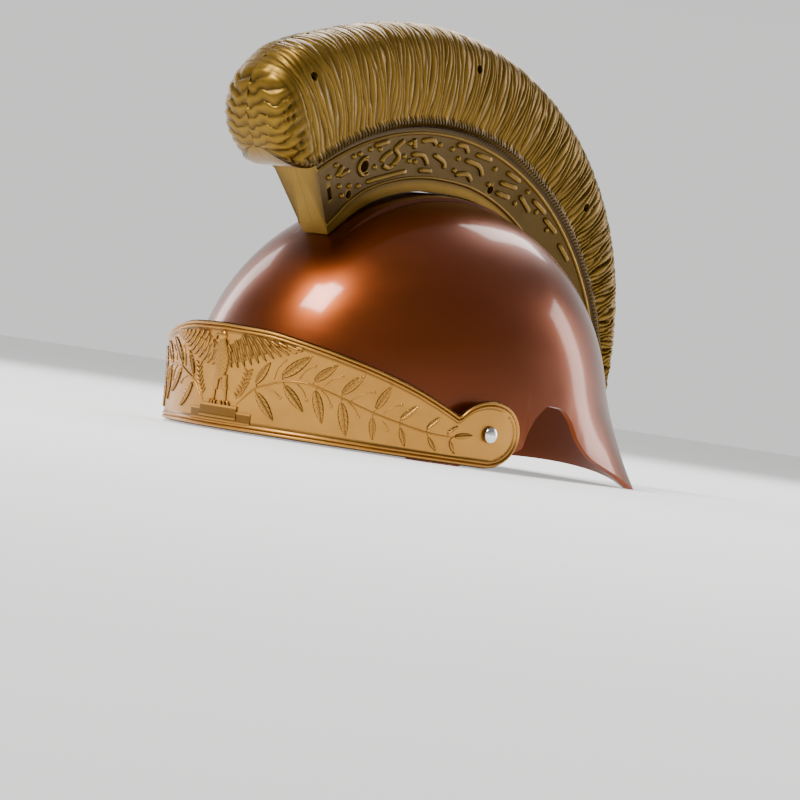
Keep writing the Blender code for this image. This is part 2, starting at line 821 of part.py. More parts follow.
def build_relief(cutters, plan, length):
    """The ornament as one cutter for each layer, all to be joined to the visor."""
    to_way = VISOR_HEIGHT / length
    wings = []
    legs = []
    for side in (-1, 1):
        low = [(side * row.way, row.low) for row in WING]
        high = [(side * row.way, row.high) for row in WING]
        wings.append((low, high))
        legs.append(upright_strip(LEG, side * LEG_WAY * to_way, to_way))
    step = [block_strip(STEP, to_way)]
    pedestal = [block_strip(PEDESTAL, to_way)]
    eagle = [upright_strip(EAGLE, 0.0, to_way)]
    return (
        build_branches(cutters, plan, length),
        strip_object("step", cutters, plan, length, step, STEP.rise * RELIEF_RISE),
        strip_object("pedestal", cutters, plan, length, pedestal, PEDESTAL.rise * RELIEF_RISE),
        strip_object("wings", cutters, plan, length, wings, WING_RISE * RELIEF_RISE),
        strip_object("eagle", cutters, plan, length, eagle, EAGLE_RISE * RELIEF_RISE),
        strip_object("legs", cutters, plan, length, legs, LEG_RISE * RELIEF_RISE),
    )


def build_rivet(name, side, home, material):
    """A domed rivet along X: head outside the visor, shank, tail inside the crown."""
    head = hinge_face() + visor_tilt_reach(HEAD_RADIUS) + SEAT_CLEARANCE
    slope = (crown_reach(HINGE_Y + PROBE) - crown_reach(HINGE_Y - PROBE)) / (2 * PROBE)
    inside = crown_reach(HINGE_Y) - CROWN_WALL * math.hypot(1.0, slope)
    tail = inside - TAIL_RADIUS * slope - SEAT_CLEARANCE
    profile = [(head + HEAD_HEIGHT, 0.0)]
    for i in range(1, DOME_STEPS + 1):
        angle = math.radians(90 * i / DOME_STEPS)
        profile.append((head + HEAD_HEIGHT * math.cos(angle), HEAD_RADIUS * math.sin(angle)))
    profile += [
        (head, SHANK_RADIUS),
        (tail, SHANK_RADIUS),
        (tail, TAIL_RADIUS),
        (tail - TAIL_THICKNESS, TAIL_RADIUS),
        (tail - TAIL_THICKNESS, 0.0),
    ]
    bm = bmesh.new()
    rings = []
    for i in range(RIVET_SIDES):
        angle = 2 * math.pi * i / RIVET_SIDES
        rings.append(
            [
                (side * x, HINGE_Y + r * math.cos(angle), HINGE_HEIGHT + r * math.sin(angle))
                for x, r in profile
            ]
        )
    grid_faces(bm, rings, closed=True)
    bmesh.ops.remove_doubles(bm, verts=bm.verts, dist=MERGE)
    bmesh.ops.recalc_face_normals(bm, faces=bm.faces)
    return add_object(name, bm, home, material)


def foot_radius(turn):
    """Radius of the crest's foot, which follows the ridge and arches a little over its front."""
    arch = max(0.0, 1 - ((turn - FOOT_ARCH_TURN) / FOOT_ARCH_SPREAD) ** 2)
    return dome_radius(turn) + ridge_rise(turn) + FOOT_CLEARANCE + FOOT_ARCH * arch


def brush_rows(turn, inset):
    """Half section of the brush from the seam down, as (x, radius)."""
    width = mix(CREST, "width", turn) * BRUSH_HALF_WIDTH
    tall = mix(CREST, "outer", turn) * BRUSH_HEIGHT
    rows = []
    for row in BRUSH:
        x = row.width * (width - inset)
        rows.append((x, ROPE_RADIUS + inset + row.height * (tall - 2 * inset)))
    return rows


def band_width(radius, turn):
    """Half width of the crest's band at a radius."""
    low = foot_radius(turn)
    t = (radius - low) / (LIP_HIGH_RADIUS - low)
    narrow = min(1.0, mix(CREST, "width", turn) / BAND_NARROW_FROM)
    return (FOOT_HALF_WIDTH + (BAND_HALF_WIDTH - FOOT_HALF_WIDTH) * t) * narrow


def full_section(turn):
    """Half section of the crest with its band, from the top seam to the foot."""
    rows = brush_rows(turn, 0.0)
    low = foot_radius(turn)
    lip = low + mix(CREST, "lip", turn) * (LIP_HIGH_RADIUS - low)
    rows += rope_rows(turn, ROPE_BULGE)
    rows += [
        (band_width(LIP_HIGH_RADIUS, turn), LIP_HIGH_RADIUS + LIP_RISE),
        (band_width(LIP_HIGH_RADIUS, turn) + LIP_RISE, LIP_HIGH_RADIUS),
        (band_width(LIP_HIGH_RADIUS - LIP_RISE, turn), LIP_HIGH_RADIUS - LIP_RISE),
        (band_width(lip + LIP_RISE, turn), lip + LIP_RISE),
        (band_width(lip, turn) + LIP_RISE, lip),
        (band_width(low, turn), low),
        (0.0, low),
    ]
    return rows


def rope_rows(turn, rise):
    """Rows of the rope under the brush, down to the top of the band."""
    rope = brush_rows(turn, 0.0)[-1][0]
    under = ROPE_RADIUS - 2 * ROPE_RISE
    return [
        (rope + rise, ROPE_RADIUS),
        (rope, ROPE_RADIUS - ROPE_RISE),
        (band_width(under, turn), under),
    ]


def head_section(turn, count):
    """Half section of the brush alone, closed by a flat underside to a count of rows."""
    rows = brush_rows(turn, 0.0) + rope_rows(turn, 0.0)
    wide, under = rows[-1]
    more = count - len(rows)
    for i in range(1, more + 1):
        rows.append((wide * (1 - i / more), under))
    return rows


def end_section(rows, share, width_share, centre):
    """A section shrunk towards a centre radius and narrowed, for the rounded ends."""
    shrunk = []
    for x, radius in rows:
        shrunk.append((x * width_share, centre + (radius - centre) * share))
    return shrunk


def ring_of(rows, turn):
    """A closed ring round both sides of the crest from a half section."""
    right = [crest_point(turn, radius, x) for x, radius in rows]
    left = [crest_point(turn, radius, -x) for x, radius in reversed(rows[1:-1])]
    return right + left


def head_centre():
    """Radius that the sections of the rounded front end shrink to."""
    return ROPE_RADIUS + HEAD_CENTRE_SHARE * BRUSH_HEIGHT


def head_turns():
    """Turns and shares of the rounded front end, from the tip back to the post."""
    rows = []
    for i in range(1, HEAD_STEPS + 1):
        u = math.cos(math.radians(90 * i / HEAD_STEPS))
        turn = POST_TURN + (HEAD_TURN - POST_TURN) * u
        share = (1 - u**HEAD_POWER) ** (1 / HEAD_POWER)
        wide = (1 - u**HEAD_WIDTH_POWER) ** (1 / HEAD_WIDTH_POWER)
        rows.append((turn, share, wide))
    return rows


def crest_stations():
    """Every section of the crest from the tip of its head to its tail, as (turn, rows)."""
    stations = []
    head = head_section(POST_TURN, len(full_section(POST_TURN)))
    for turn, share, wide in head_turns():
        stations.append((turn, end_section(head, share, wide, head_centre())))
    for i in range(CREST_STATIONS + 1):
        turn = POST_TURN + (TAIL_TURN - POST_TURN) * i / CREST_STATIONS
        stations.append((turn, full_section(turn)))
    tail = full_section(TAIL_TURN)
    centre = (ROPE_RADIUS + tail[-1][1]) / 2
    for i in range(1, TAIL_STEPS):
        u = math.sin(math.radians(90 * i / TAIL_STEPS))
        share = math.sqrt(1 - u * u)
        stations.append((TAIL_TURN + TAIL_LENGTH * u, end_section(tail, share, share, centre)))
    return stations


def build_crest_outer():
    bm = bmesh.new()
    solid_faces(bm, [ring_of(rows, turn) for turn, rows in crest_stations()])
    return bm


def cavity_section(turn):
    """Half section of the hollow inside the crest."""
    rows = brush_rows(turn, CREST_WALL)
    low = foot_radius(turn) + CREST_WALL
    rows.append((band_width(ROPE_RADIUS, turn) - CREST_WALL, ROPE_RADIUS))
    rows.append((band_width(LIP_HIGH_RADIUS, turn) - CREST_WALL, LIP_HIGH_RADIUS))
    rows.append((band_width(low, turn) - CREST_WALL, low))
    rows.append((0.0, low))
    return rows


def build_crest_cavity(cutters):
    bm = bmesh.new()
    rings = []
    wall_turn = math.degrees(CREST_WALL / ROPE_RADIUS)
    first = POST_TURN + wall_turn
    last = TAIL_TURN - wall_turn
    head = brush_rows(POST_TURN, CREST_WALL)
    extra = len(cavity_section(0.0)) - len(BRUSH)
    floor = ROPE_RADIUS - 2 * ROPE_RISE + CREST_WALL
    for i in range(extra):
        head.append((head[len(BRUSH) - 1][0] * (1 - i / (extra - 1)), floor))
    for turn, share, wide in head_turns()[:-1]:
        rows = end_section(head, share * HOLLOW_SHARE, wide * HOLLOW_SHARE, head_centre())
        rings.append(ring_of(rows, turn + wall_turn * HOLLOW_BACK))
    rings.append(ring_of(head, first - HOLLOW_STEP))
    for i in range(CREST_STATIONS + 1):
        turn = first + (last - first) * i / CREST_STATIONS
        rings.append(ring_of(cavity_section(turn), turn))
    solid_faces(bm, rings)
    return add_object("crest hollow", bm, cutters)


def hole_radius(turn, part, share):
    """Radius at a share of the height of the brush, or of the band under it."""
    if part == "brush":
        return ROPE_RADIUS + share * mix(CREST, "outer", turn) * BRUSH_HEIGHT
    low = foot_radius(turn)
    return low + share * (LIP_HIGH_RADIUS - low)


def build_crest_holes(cutters):
    bm = bmesh.new()
    reach = BRUSH_HALF_WIDTH + CUT_MARGIN
    for hole in HOLES:
        centre = crest_point(hole.turn, hole_radius(hole.turn, hole.part, hole.share))
        rings = []
        for x in (-reach, reach):
            ring = []
            for i in range(HOLE_SIDES):
                angle = 2 * math.pi * i / HOLE_SIDES
                across = hole.radius * math.cos(angle)
                up = hole.radius * math.sin(angle)
                ring.append((x, centre.y + across, centre.z + up))
            rings.append(ring)
        solid_faces(bm, rings)
    middle = hole_radius(SLOT_TURN, "band", SLOT_SHARE)
    half_turn = math.degrees(SLOT_WIDTH / 2 / middle)
    rings = []
    for x in (-reach, reach):
        ring = []
        for across, up in ((-1, -1), (1, -1), (1, 1), (-1, 1)):
            turn = SLOT_TURN + across * half_turn
            ring.append(crest_point(turn, middle + up * SLOT_HEIGHT / 2, x))
        rings.append(ring)
    solid_faces(bm, rings)
    return add_object("crest holes", bm, cutters)


def build_half_space(cutters, name, side):
    """A box that covers the other half of the crest up to the seam."""
    reach = 3 * CREST_RADIUS
    width = 2 * BRUSH_HALF_WIDTH
    bm = bmesh.new()
    bmesh.ops.create_cube(bm, size=1.0)
    bmesh.ops.scale(bm, vec=(width, reach, reach), verts=bm.verts)
    bmesh.ops.translate(bm, vec=(side * (SEAM_GAP - width) / 2, 0.0, 0.0), verts=bm.verts)
    bmesh.ops.recalc_face_normals(bm, faces=bm.faces)
    return add_object(name, bm, cutters)


def build_crest(home, cutters, material):
    hollow = build_crest_cavity(cutters)
    holes = build_crest_holes(cutters)
    for name, side in (("crest_left", 1), ("crest_right", -1)):
        half = add_object(name, build_crest_outer(), home, material)
        boolean(half, hollow, "DIFFERENCE")
        boolean(half, build_half_space(cutters, name + " other side", side), "DIFFERENCE")
        boolean(half, holes, "DIFFERENCE")


def main():
    clear_scene()
    home = make_collection(COLLECTION)
    cutters = make_collection("cutters")
    origin = bpy.data.objects.new(ORIGIN_NAME, None)
    origin.location.y = origin_shift()
    home.objects.link(origin)
    copper = make_material("copper plastic", (0.20, 0.045, 0.010), 0.75, 0.22)
    gold = make_material("gold plastic", (0.55, 0.33, 0.13), 0.80, 0.34)
    bronze = make_material("bronze plastic", (0.26, 0.16, 0.035), 0.80, 0.36)
    chrome = make_material("chrome", (0.70, 0.69, 0.67), 1.0, 0.15)
    build_crown(home, cutters, copper)
    build_visor(home, cutters, gold)
    build_rivet("rivet_left", 1, home, chrome)
    build_rivet("rivet_right", -1, home, chrome)
    build_crest(home, cutters, bronze)


main()
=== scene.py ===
"""Gladiator helmet of moulded plastic: the looks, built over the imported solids.

Every piece is built in the solids' own frame, in metres: z = 0 is the table top, the front faces -Y
and +X is the wearer's left. Lengths named _MM are in millimetres, and turns are in degrees.
"""

import json
import math
from bisect import bisect_right
from collections import namedtuple

import bpy
from mathutils import Matrix, Vector


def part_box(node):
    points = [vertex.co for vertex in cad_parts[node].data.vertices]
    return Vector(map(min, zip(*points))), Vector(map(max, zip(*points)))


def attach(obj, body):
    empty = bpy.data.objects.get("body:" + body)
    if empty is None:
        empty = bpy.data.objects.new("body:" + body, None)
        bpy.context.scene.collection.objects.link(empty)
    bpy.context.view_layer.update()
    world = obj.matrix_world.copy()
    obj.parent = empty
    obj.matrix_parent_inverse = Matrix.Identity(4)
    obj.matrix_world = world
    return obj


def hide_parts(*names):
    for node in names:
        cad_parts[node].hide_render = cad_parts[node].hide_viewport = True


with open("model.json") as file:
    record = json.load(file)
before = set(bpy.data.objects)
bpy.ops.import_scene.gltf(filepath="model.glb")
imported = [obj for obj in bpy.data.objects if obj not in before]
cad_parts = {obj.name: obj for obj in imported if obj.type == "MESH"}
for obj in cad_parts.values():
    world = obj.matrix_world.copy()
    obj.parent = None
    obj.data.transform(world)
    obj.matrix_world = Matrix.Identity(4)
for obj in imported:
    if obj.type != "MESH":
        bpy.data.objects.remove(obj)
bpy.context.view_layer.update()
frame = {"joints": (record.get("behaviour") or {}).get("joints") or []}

bl_info = {
    "name": "Gladiator helmet",
    "version": (1, 0, 0),
    "blender": (4, 5, 0),
    "location": "3D View > Sidebar > Helmet",
    "description": "Builds a gladiator helmet with a hinged visor and a crest",
    "category": "Add Mesh",
}

# Points closer than this are merged
MERGE = 0.00001

# Crown: an ellipsoid over its widest level, a short skirt below it and a flared neck guard
CROWN_POWER = 2.08
EAR_TOP = 0.0332
NECK_FLARE = 0.188
NECK_FLARE_START = 0.0440
NECK_FLARE_POWER = 1.6
NECK_CORNER_TURN = 128.0
NECK_ARCH = 0.0080

# Lower rim of the crown: turn from the front, height as a share of EAR_TOP, flare of NECK_FLARE
Rim = namedtuple("Rim", "turn height flare")
RIM = (
    Rim(0.0, 0.73, 0.0),
    Rim(12.0, 0.72, 0.0),
    Rim(24.0, 0.68, 0.0),
    Rim(34.0, 0.58, 0.0),
    Rim(41.0, 0.40, 0.0),
    Rim(47.0, 0.16, 0.0),
    Rim(52.0, -0.02, 0.0),
    Rim(57.0, -0.02, 0.0),
    Rim(62.0, -0.02, 0.0),
    Rim(67.0, 0.09, 0.0),
    Rim(73.0, 0.20, 0.0),
    Rim(80.0, 0.36, 0.0),
    Rim(81.2, 0.59, 0.0),
    Rim(83.6, 0.83, 0.0),
    Rim(87.3, 0.99, 0.0),
    Rim(91.5, 0.98, 0.0),
    Rim(96.0, 0.86, 0.0),
    Rim(100.5, 0.60, 0.08),
    Rim(104.0, 0.46, 0.17),
    Rim(108.0, 0.35, 0.28),
    Rim(113.0, 0.27, 0.46),
    Rim(118.0, 0.19, 0.68),
    Rim(123.0, 0.10, 0.86),
    Rim(128.0, 0.00, 1.00),
    Rim(133.0, None, 0.86),
    Rim(140.0, None, 0.78),
    Rim(150.0, None, 0.77),
    Rim(180.0, None, 0.77),
)
CROWN_BELT = 0.2
RIDGE_HALF_WIDTH = 0.0165
RIDGE_RISE = 0.0014
RIDGE_RUN_IN = 16.0
RIDGE_SINK = 0.0012
RIDGE_CHAMFER = 0.0020
RIDGE_FRONT = -36.0
RIDGE_REAR = 68.0
BOSS_RADIUS = 0.0065
BOSS_CHAMFER = 0.0003
BOSS_ROOM = 0.0020

# Rivets: rise of the dome, its flat underside and the length of the tail's foot
RIVET_DOME = 0.0024
RIVET_UNDERSIDE = 0.0025
RIVET_FOOT = 0.0012

# Visor: a band bent round the brow, with a disc at each end for the rivet
HINGE_Y = -0.0476
VISOR_SIDE_ROOM = 0.0005
VISOR_FRONT_ROOM = 0.0090
VISOR_STRAIGHT = 0.0112
VISOR_PLAN_POWER = 1.88
VISOR_PLAN_BACK = HINGE_Y + VISOR_STRAIGHT
VISOR_EDGE = 0.0012
VISOR_LEAN = 0.07
VISOR_NOTCH_FILLET = 0.003
DISC_RADIUS = 0.0149
DISC_AHEAD = 0.0175
DISC_BEHIND = 0.0200
HINGE_HEIGHT = VISOR_EDGE + DISC_RADIUS
PLAN_STEPS = 360

# Raised lines along the visor's edges: distance from the edge, half width and rise
Line = namedtuple("Line", "distance_mm half_mm rise_mm")
RIM_LINES = (Line(0.75, 0.65, 0.80), Line(2.35, 0.60, 0.60))

# Upper edge of the visor: way to the rivet as a share, height as a share of the visor's height
Edge = namedtuple("Edge", "way height")
EDGE = (
    Edge(0.00, 1.000),
    Edge(0.16, 0.985),
    Edge(0.31, 0.925),
    Edge(0.50, 0.812),
    Edge(0.60, 0.736),
    Edge(0.70, 0.645),
    Edge(0.80, 0.532),
    Edge(0.88, 0.435),
    Edge(1.00, 0.310),
)

# Ornament of the visor: arc from the front and height over the lower edge
Spot = namedtuple("Spot", "arc_mm height_mm")
STEM = (
    Spot(10.0, 11.0),
    Spot(18.2, 19.2),
    Spot(25.0, 22.3),
    Spot(31.6, 24.7),
    Spot(38.3, 25.4),
    Spot(45.0, 25.0),
    Spot(58.5, 21.4),
    Spot(73.0, 17.0),
    Spot(85.4, 14.2),
    Spot(98.6, 11.9),
    Spot(110.9, 11.4),
)
Leaf = namedtuple("Leaf", "arc_mm height_mm tip_arc_mm tip_height_mm")
LEAVES = (
    Leaf(19.2, 21.9, 25.1, 32.4),
    Leaf(31.1, 26.6, 43.5, 37.8),
    Leaf(45.6, 26.9, 55.1, 35.6),
    Leaf(58.4, 23.2, 67.4, 33.1),
    Leaf(74.0, 18.9, 79.5, 30.2),
    Leaf(85.6, 15.9, 92.7, 23.2),
    Leaf(98.2, 13.7, 103.3, 19.4),
    Leaf(108.5, 13.2, 112.9, 16.9),
    Leaf(19.9, 18.0, 29.5, 6.7),
    Leaf(32.6, 23.0, 42.7, 12.5),
    Leaf(46.6, 22.9, 51.5, 8.5),
    Leaf(58.6, 19.3, 62.6, 4.7),
    Leaf(73.0, 14.9, 74.5, 4.9),
    Leaf(86.0, 12.2, 89.3, 4.2),
    Leaf(99.5, 9.9, 104.0, 4.3),
    Leaf(110.1, 9.5, 113.5, 4.2),
    Leaf(112.2, 11.9, 121.3, 13.7),
)
LEAF_SLIMNESS = 0.165
STALKS = (
    Leaf(27.5, 24.7, 31.8, 34.0),
    Leaf(38.9, 26.6, 45.1, 33.6),
    Leaf(50.4, 25.4, 57.6, 30.9),
    Leaf(62.4, 20.5, 72.1, 25.9),
    Leaf(24.5, 20.7, 31.5, 17.3),
    Leaf(37.6, 24.9, 43.4, 18.1),
    Leaf(48.9, 23.6, 54.5, 17.1),
    Leaf(61.0, 20.3, 67.0, 14.2),
    Leaf(77.6, 14.1, 80.5, 10.3),
    Leaf(77.5, 17.2, 85.0, 22.3),
)
LEAF_RISE_MM = 0.75
LEAF_STEPS = 30
LEAF_SECTION = (-1.0, -0.84, -0.62, -0.36, -0.13, 0.0, 0.13, 0.36, 0.62, 0.84, 1.0, None)
BAR_SIDES = 10
SINK_MM = 0.5

# The eagle between the branches
Wing = namedtuple("Wing", "arc_mm low_mm high_mm")
WING = (
    Wing(2.0, 27.0, 36.5),
    Wing(8.0, 27.8, 40.5),
    Wing(11.0, 28.8, 43.2),
    Wing(17.0, 31.2, 43.2),
    Wing(24.0, 34.8, 42.0),
    Wing(31.0, 37.8, 41.4),
    Wing(37.0, 40.2, 40.9),
)
Body = namedtuple("Body", "height_mm half_mm")
EAGLE_BODY = (
    Body(21.5, 0.4),
    Body(23.0, 2.2),
    Body(27.0, 3.6),
    Body(32.0, 4.2),
    Body(35.5, 3.3),
    Body(38.0, 2.2),
    Body(39.5, 1.5),
)
# Rows of feathers: share of the wing's height that they start at, reach down it and rise
FEATHER_ROWS = ((0.62, 1.0, 0.62), (0.30, 0.60, 0.80), (0.06, 0.34, 0.95))
FEATHER_COUNT = 12
FEATHER_SHORTEST_MM = 1.6
WING_ROOT_MM = 4.0
WING_TIP_MM = 37.0
EAGLE_HEAD = Spot(-0.8, 40.9)
EAGLE_HEAD_RADIUS_MM = 2.5
BEAK = Leaf(-2.2, 41.2, -5.2, 38.8)
LEGS = (Leaf(-2.3, 24.0, -3.2, 11.4), Leaf(2.9, 24.0, 4.0, 11.4))
CLAWS_MM = (-5.4, -3.6, -1.8, 1.9, 4.0, 6.2)
SPRIGS = (Leaf(-10.4, 13.6, -15.2, 27.4), Leaf(9.6, 13.6, 14.6, 27.4))
Block = namedtuple("Block", "half_mm low_mm high_mm rise_mm")
PEDESTAL = Block(11.3, 4.3, 10.5, 1.0)
STEP = Block(18.7, 2.8, 8.2, 0.55)

# Crest: every section is a radial plane about one centre behind the brow
CREST_Y = -0.0166
CREST_Z = 0.0028
ROPE_RISE = 0.0016
ROPE_BULGE = 0.0010
BAND_TOP_DROP = 0.0060
LIP_RISE = 0.0008
BAND_NARROW_FROM = 0.8
FOOT_HALF_WIDTH = 0.0076
FOOT_CLEARANCE = 0.0003
FOOT_ARCH = 0.0010
FOOT_ARCH_TURN = -14.0
FOOT_ARCH_SPREAD = 16.0
SEAM_GAP = 0.0001
POST_TURN = -36.3
HEAD_TURN = -43.0
HEAD_CENTRE_SHARE = 0.355
HEAD_POWER = 1.8
HEAD_WIDTH_POWER = 3.6
HEAD_REACH = 0.962
TAIL_TURN = 72.0
TAIL_LENGTH = 7.0
TAIL_REACH = 0.92
Crest = namedtuple("Crest", "turn outer lip width")
CREST = (
    Crest(-36.3, 1.060, 0.142, 1.000),
    Crest(-33.0, 1.108, 0.170, 1.000),
    Crest(-29.0, 1.077, 0.223, 0.995),
    Crest(-22.0, 1.009, 0.246, 0.985),
    Crest(-12.0, 0.974, 0.241, 0.960),
    Crest(-2.0, 0.957, 0.241, 0.930),
    Crest(8.0, 0.927, 0.234, 0.890),
    Crest(18.0, 0.884, 0.195, 0.850),
    Crest(28.0, 0.824, 0.163, 0.800),
    Crest(38.0, 0.738, 0.153, 0.745),
    Crest(47.0, 0.626, 0.175, 0.690),
    Crest(56.0, 0.475, 0.224, 0.630),
    Crest(62.0, 0.346, 0.258, 0.580),
    Crest(68.0, 0.217, 0.293, 0.530),
    Crest(72.0, 0.127, 0.311, 0.480),
)
Brush = namedtuple("Brush", "width height")
BRUSH = (
    Brush(0.00, 1.000),
    Brush(0.30, 0.988),
    Brush(0.58, 0.945),
    Brush(0.80, 0.860),
    Brush(0.94, 0.730),
    Brush(1.00, 0.560),
    Brush(0.99, 0.370),
    Brush(0.93, 0.190),
    Brush(0.84, 0.050),
)
BRUSH_STEPS = 5
ROPE_STEPS = 7
BAND_STEPS = 7
CREST_STEP = 0.112
HEAD_STATIONS = 44
TAIL_STATIONS = 26
BRUSH_INSET = 0.00015
Hole = namedtuple("Hole", "turn part share radius")
HOLES = (
    Hole(-33.2, "brush", 0.719, 0.0021),
    Hole(2.3, "brush", 0.625, 0.0021),
    Hole(39.4, "brush", 0.387, 0.0021),
    Hole(-28.2, "band", 0.340, 0.0020),
    Hole(16.6, "band", 0.361, 0.0020),
    Hole(-23.2, "band", 0.640, 0.0028),
)
SLOT_TURN = -33.9
SLOT_SHARE = 0.550
SLOT_WIDTH = 0.0026
SLOT_HEIGHT = 0.0062

# Relief on the sides of the crest's band: turn from upright and radius from the crest's centre
Point = namedtuple("Point", "turn radius_mm")
BEADS = (
    Point(-31.2, 144.1),
    Point(-33.5, 140.6),
    Point(-26.3, 143.8),
    Point(-24.6, 143.6),
    Point(-21.7, 143.9),
    Point(-19.0, 142.6),
    Point(-20.3, 134.8),
    Point(-10.8, 143.0),
    Point(-11.9, 137.0),
    Point(-10.1, 134.7),
    Point(-8.3, 134.2),
    Point(-30.9, 133.3),
    Point(-28.0, 130.8),
    Point(-30.4, 128.1),
    Point(-25.2, 128.6),
    Point(-2.3, 143.0),
    Point(1.4, 142.2),
    Point(4.0, 138.8),
    Point(4.0, 133.1),
    Point(14.8, 142.2),
    Point(15.3, 134.6),
    Point(25.6, 144.4),
    Point(24.6, 136.1),
    Point(30.6, 141.4),
    Point(35.8, 141.0),
)
STROKES = (
    (Point(-31.5, 138.2), Point(-29.3, 142.2)),
    (Point(-30.9, 138.2), Point(-27.5, 138.1)),
    (Point(-23.0, 128.8), Point(-17.0, 128.7), Point(-10.0, 129.8)),
    (Point(-20.9, 145.0), Point(-16.4, 145.2)),
    (Point(-12.4, 144.8), Point(-14.6, 141.2), Point(-13.4, 137.0), Point(-15.0, 133.1)),
    (Point(-18.5, 135.9), Point(-17.6, 138.6), Point(-15.6, 140.2)),
    (Point(-18.0, 134.3), Point(-16.3, 132.6), Point(-14.9, 133.4)),
    (Point(-9.8, 145.3), Point(-9.1, 139.9)),
    (Point(-7.8, 143.9), Point(-4.8, 144.7), Point(-3.4, 142.6)),
    (Point(-9.9, 137.6), Point(-6.4, 137.2), Point(-4.3, 132.6)),
    (Point(-3.5, 138.1), Point(0.0, 135.5), Point(0.9, 132.4)),
    (Point(-6.9, 130.2), Point(-2.3, 130.4)),
    (Point(2.2, 144.7), Point(4.6, 145.2), Point(6.0, 142.6)),
    (Point(8.0, 143.6), Point(13.2, 144.9)),
    (Point(5.8, 139.3), Point(10.3, 139.4), Point(12.5, 136.0)),
    (Point(4.6, 131.3), Point(8.0, 133.6), Point(10.2, 131.5)),
    (Point(17.8, 144.2), Point(22.7, 145.2)),
    (Point(17.5, 138.3), Point(23.0, 141.9)),
    (Point(18.1, 133.6), Point(22.8, 136.1)),
    (Point(24.2, 140.3), Point(29.6, 138.6)),
    (Point(27.6, 143.6), Point(33.1, 144.9)),
    (Point(33.0, 142.8), Point(38.6, 144.7)),
    (Point(40.2, 143.0), Point(45.5, 144.4)),
)
EYE_TURN = -23.2
EYE_RADIUS_MM = 136.7
EYE_RING_MM = 4.3
STROKE_HALF_MM = 1.45
BEAD_HALF_MM = 1.40

# Camera: the photograph's turn and tilt, but from just above the floor, and the helmet's place in view
CAMERA_TURN = 40.96
CAMERA_RISE = -1.0
CAMERA_ROLL = 8.68
CAMERA_DISTANCE = 1.8
CAMERA_AIM = (0.0, 0.00347, 0.0612)
PIXELS_PER_MM = 2.12
AIM_ACROSS = 423.8
AIM_DOWN = 326.7
PICTURE = 800.0
SENSOR_MM = 36.0

# Stage: the floor, and the studio's light, which fades between two heights of the view
FLOOR_RADIUS = 20.0
FLOOR_GLOW = 0.50
STUDIO_HEIGHTS = (0.10, 0.50)
STUDIO_STRENGTHS = (1.05, 0.30)


def length_size(name, default, text):
    """A length that a user can change."""
    return bpy.props.FloatProperty(
        name=name, description=text, default=default, min=0.0001, subtype="DISTANCE", unit="LENGTH"
    )


def tint(name, default, text):
    """A colour that a user can change."""
    return bpy.props.FloatVectorProperty(
        name=name, description=text, default=default, size=3, min=0.0, max=1.0, subtype="COLOR"
    )


class HelmetSizes(bpy.types.PropertyGroup):
    """Sizes of the helmet"""

    crown_half_width: length_size("Crown half width", 0.0885, "Half of the crown's width")
    crown_front: length_size("Crown front", 0.1208, "Length of the crown ahead of its middle")
    crown_rear: length_size("Crown rear", 0.0980, "Length of the crown behind its middle")
    crown_top: length_size("Crown top", 0.1224, "Height of the crown")
    crown_waist: length_size("Crown waist", 0.0164, "Height of the crown's widest level")
    crown_wall: length_size("Crown wall", 0.0025, "Thickness of the crown")
    visor_height: length_size("Visor height", 0.0467, "Height of the visor at its front")
    visor_wall: length_size("Visor wall", 0.0020, "Thickness of the visor")
    band_above_crown: length_size("Band above crown", 0.0311, "Height of the crest's band")
    brush_height: length_size("Brush height", 0.0465, "Height of the crest's brush")
    brush_half_width: length_size("Brush half width", 0.0210, "Half of the brush's width")
    band_half_width: length_size("Band half width", 0.0134, "Half width of the band at its top")
    rib_pitch: length_size("Rib pitch", 0.0024, "Distance from rib to rib of the brush")
    rib_depth: length_size("Rib depth", 0.0013, "Depth of the grooves between the ribs")
    head_rib_pitch: length_size("Head rib pitch", 0.0046, "Distance between the ribs of the head")


class HelmetFinish(bpy.types.PropertyGroup):
    """Colours of the helmet"""

    crown_colour: tint("Crown", (0.175, 0.032, 0.001), "Colour of the lacquered crown")
    visor_colour: tint("Visor", (0.455, 0.222, 0.046), "Colour of the visor")
    crest_colour: tint("Crest", (0.200, 0.112, 0.010), "Colour of the crest")
    rivet_colour: tint("Rivets", (0.760, 0.750, 0.730), "Colour of the rivets")
    floor_colour: tint("Floor", (0.860, 0.860, 0.850), "Colour of the floor")


def mix(table, column, at):
    """Value of a table's column at a place in its first column, through a smooth cubic."""
    number = table[0]._fields.index(column)
    xs = [row[0] for row in table]
    ys = [row[number] for row in table]
    last = len(xs) - 1
    if at <= xs[0]:
        return ys[0]
    if at >= xs[last]:
        return ys[last]
    k = min(last - 1, bisect_right(xs, at) - 1)
    step = xs[k + 1] - xs[k]
    t = (at - xs[k]) / step
    chord = (ys[k + 1] - ys[k]) / step

    def slope(i):
        if i == 0 or i == last:
            return (ys[1] - ys[0]) / (xs[1] - xs[0]) if i == 0 else chord
        before = (ys[i] - ys[i - 1]) / (xs[i] - xs[i - 1])
        after = (ys[i + 1] - ys[i]) / (xs[i + 1] - xs[i])
        if before * after <= 0:
            return 0.0
        return 2 * before * after / (before + after)

    m0 = slope(k) * step
    m1 = slope(k + 1) * step
    t2 = t * t
    t3 = t2 * t
    start = (2 * t3 - 3 * t2 + 1) * ys[k] + (t3 - 2 * t2 + t) * m0
    return start + (3 * t2 - 2 * t3) * ys[k + 1] + (t3 - t2) * m1


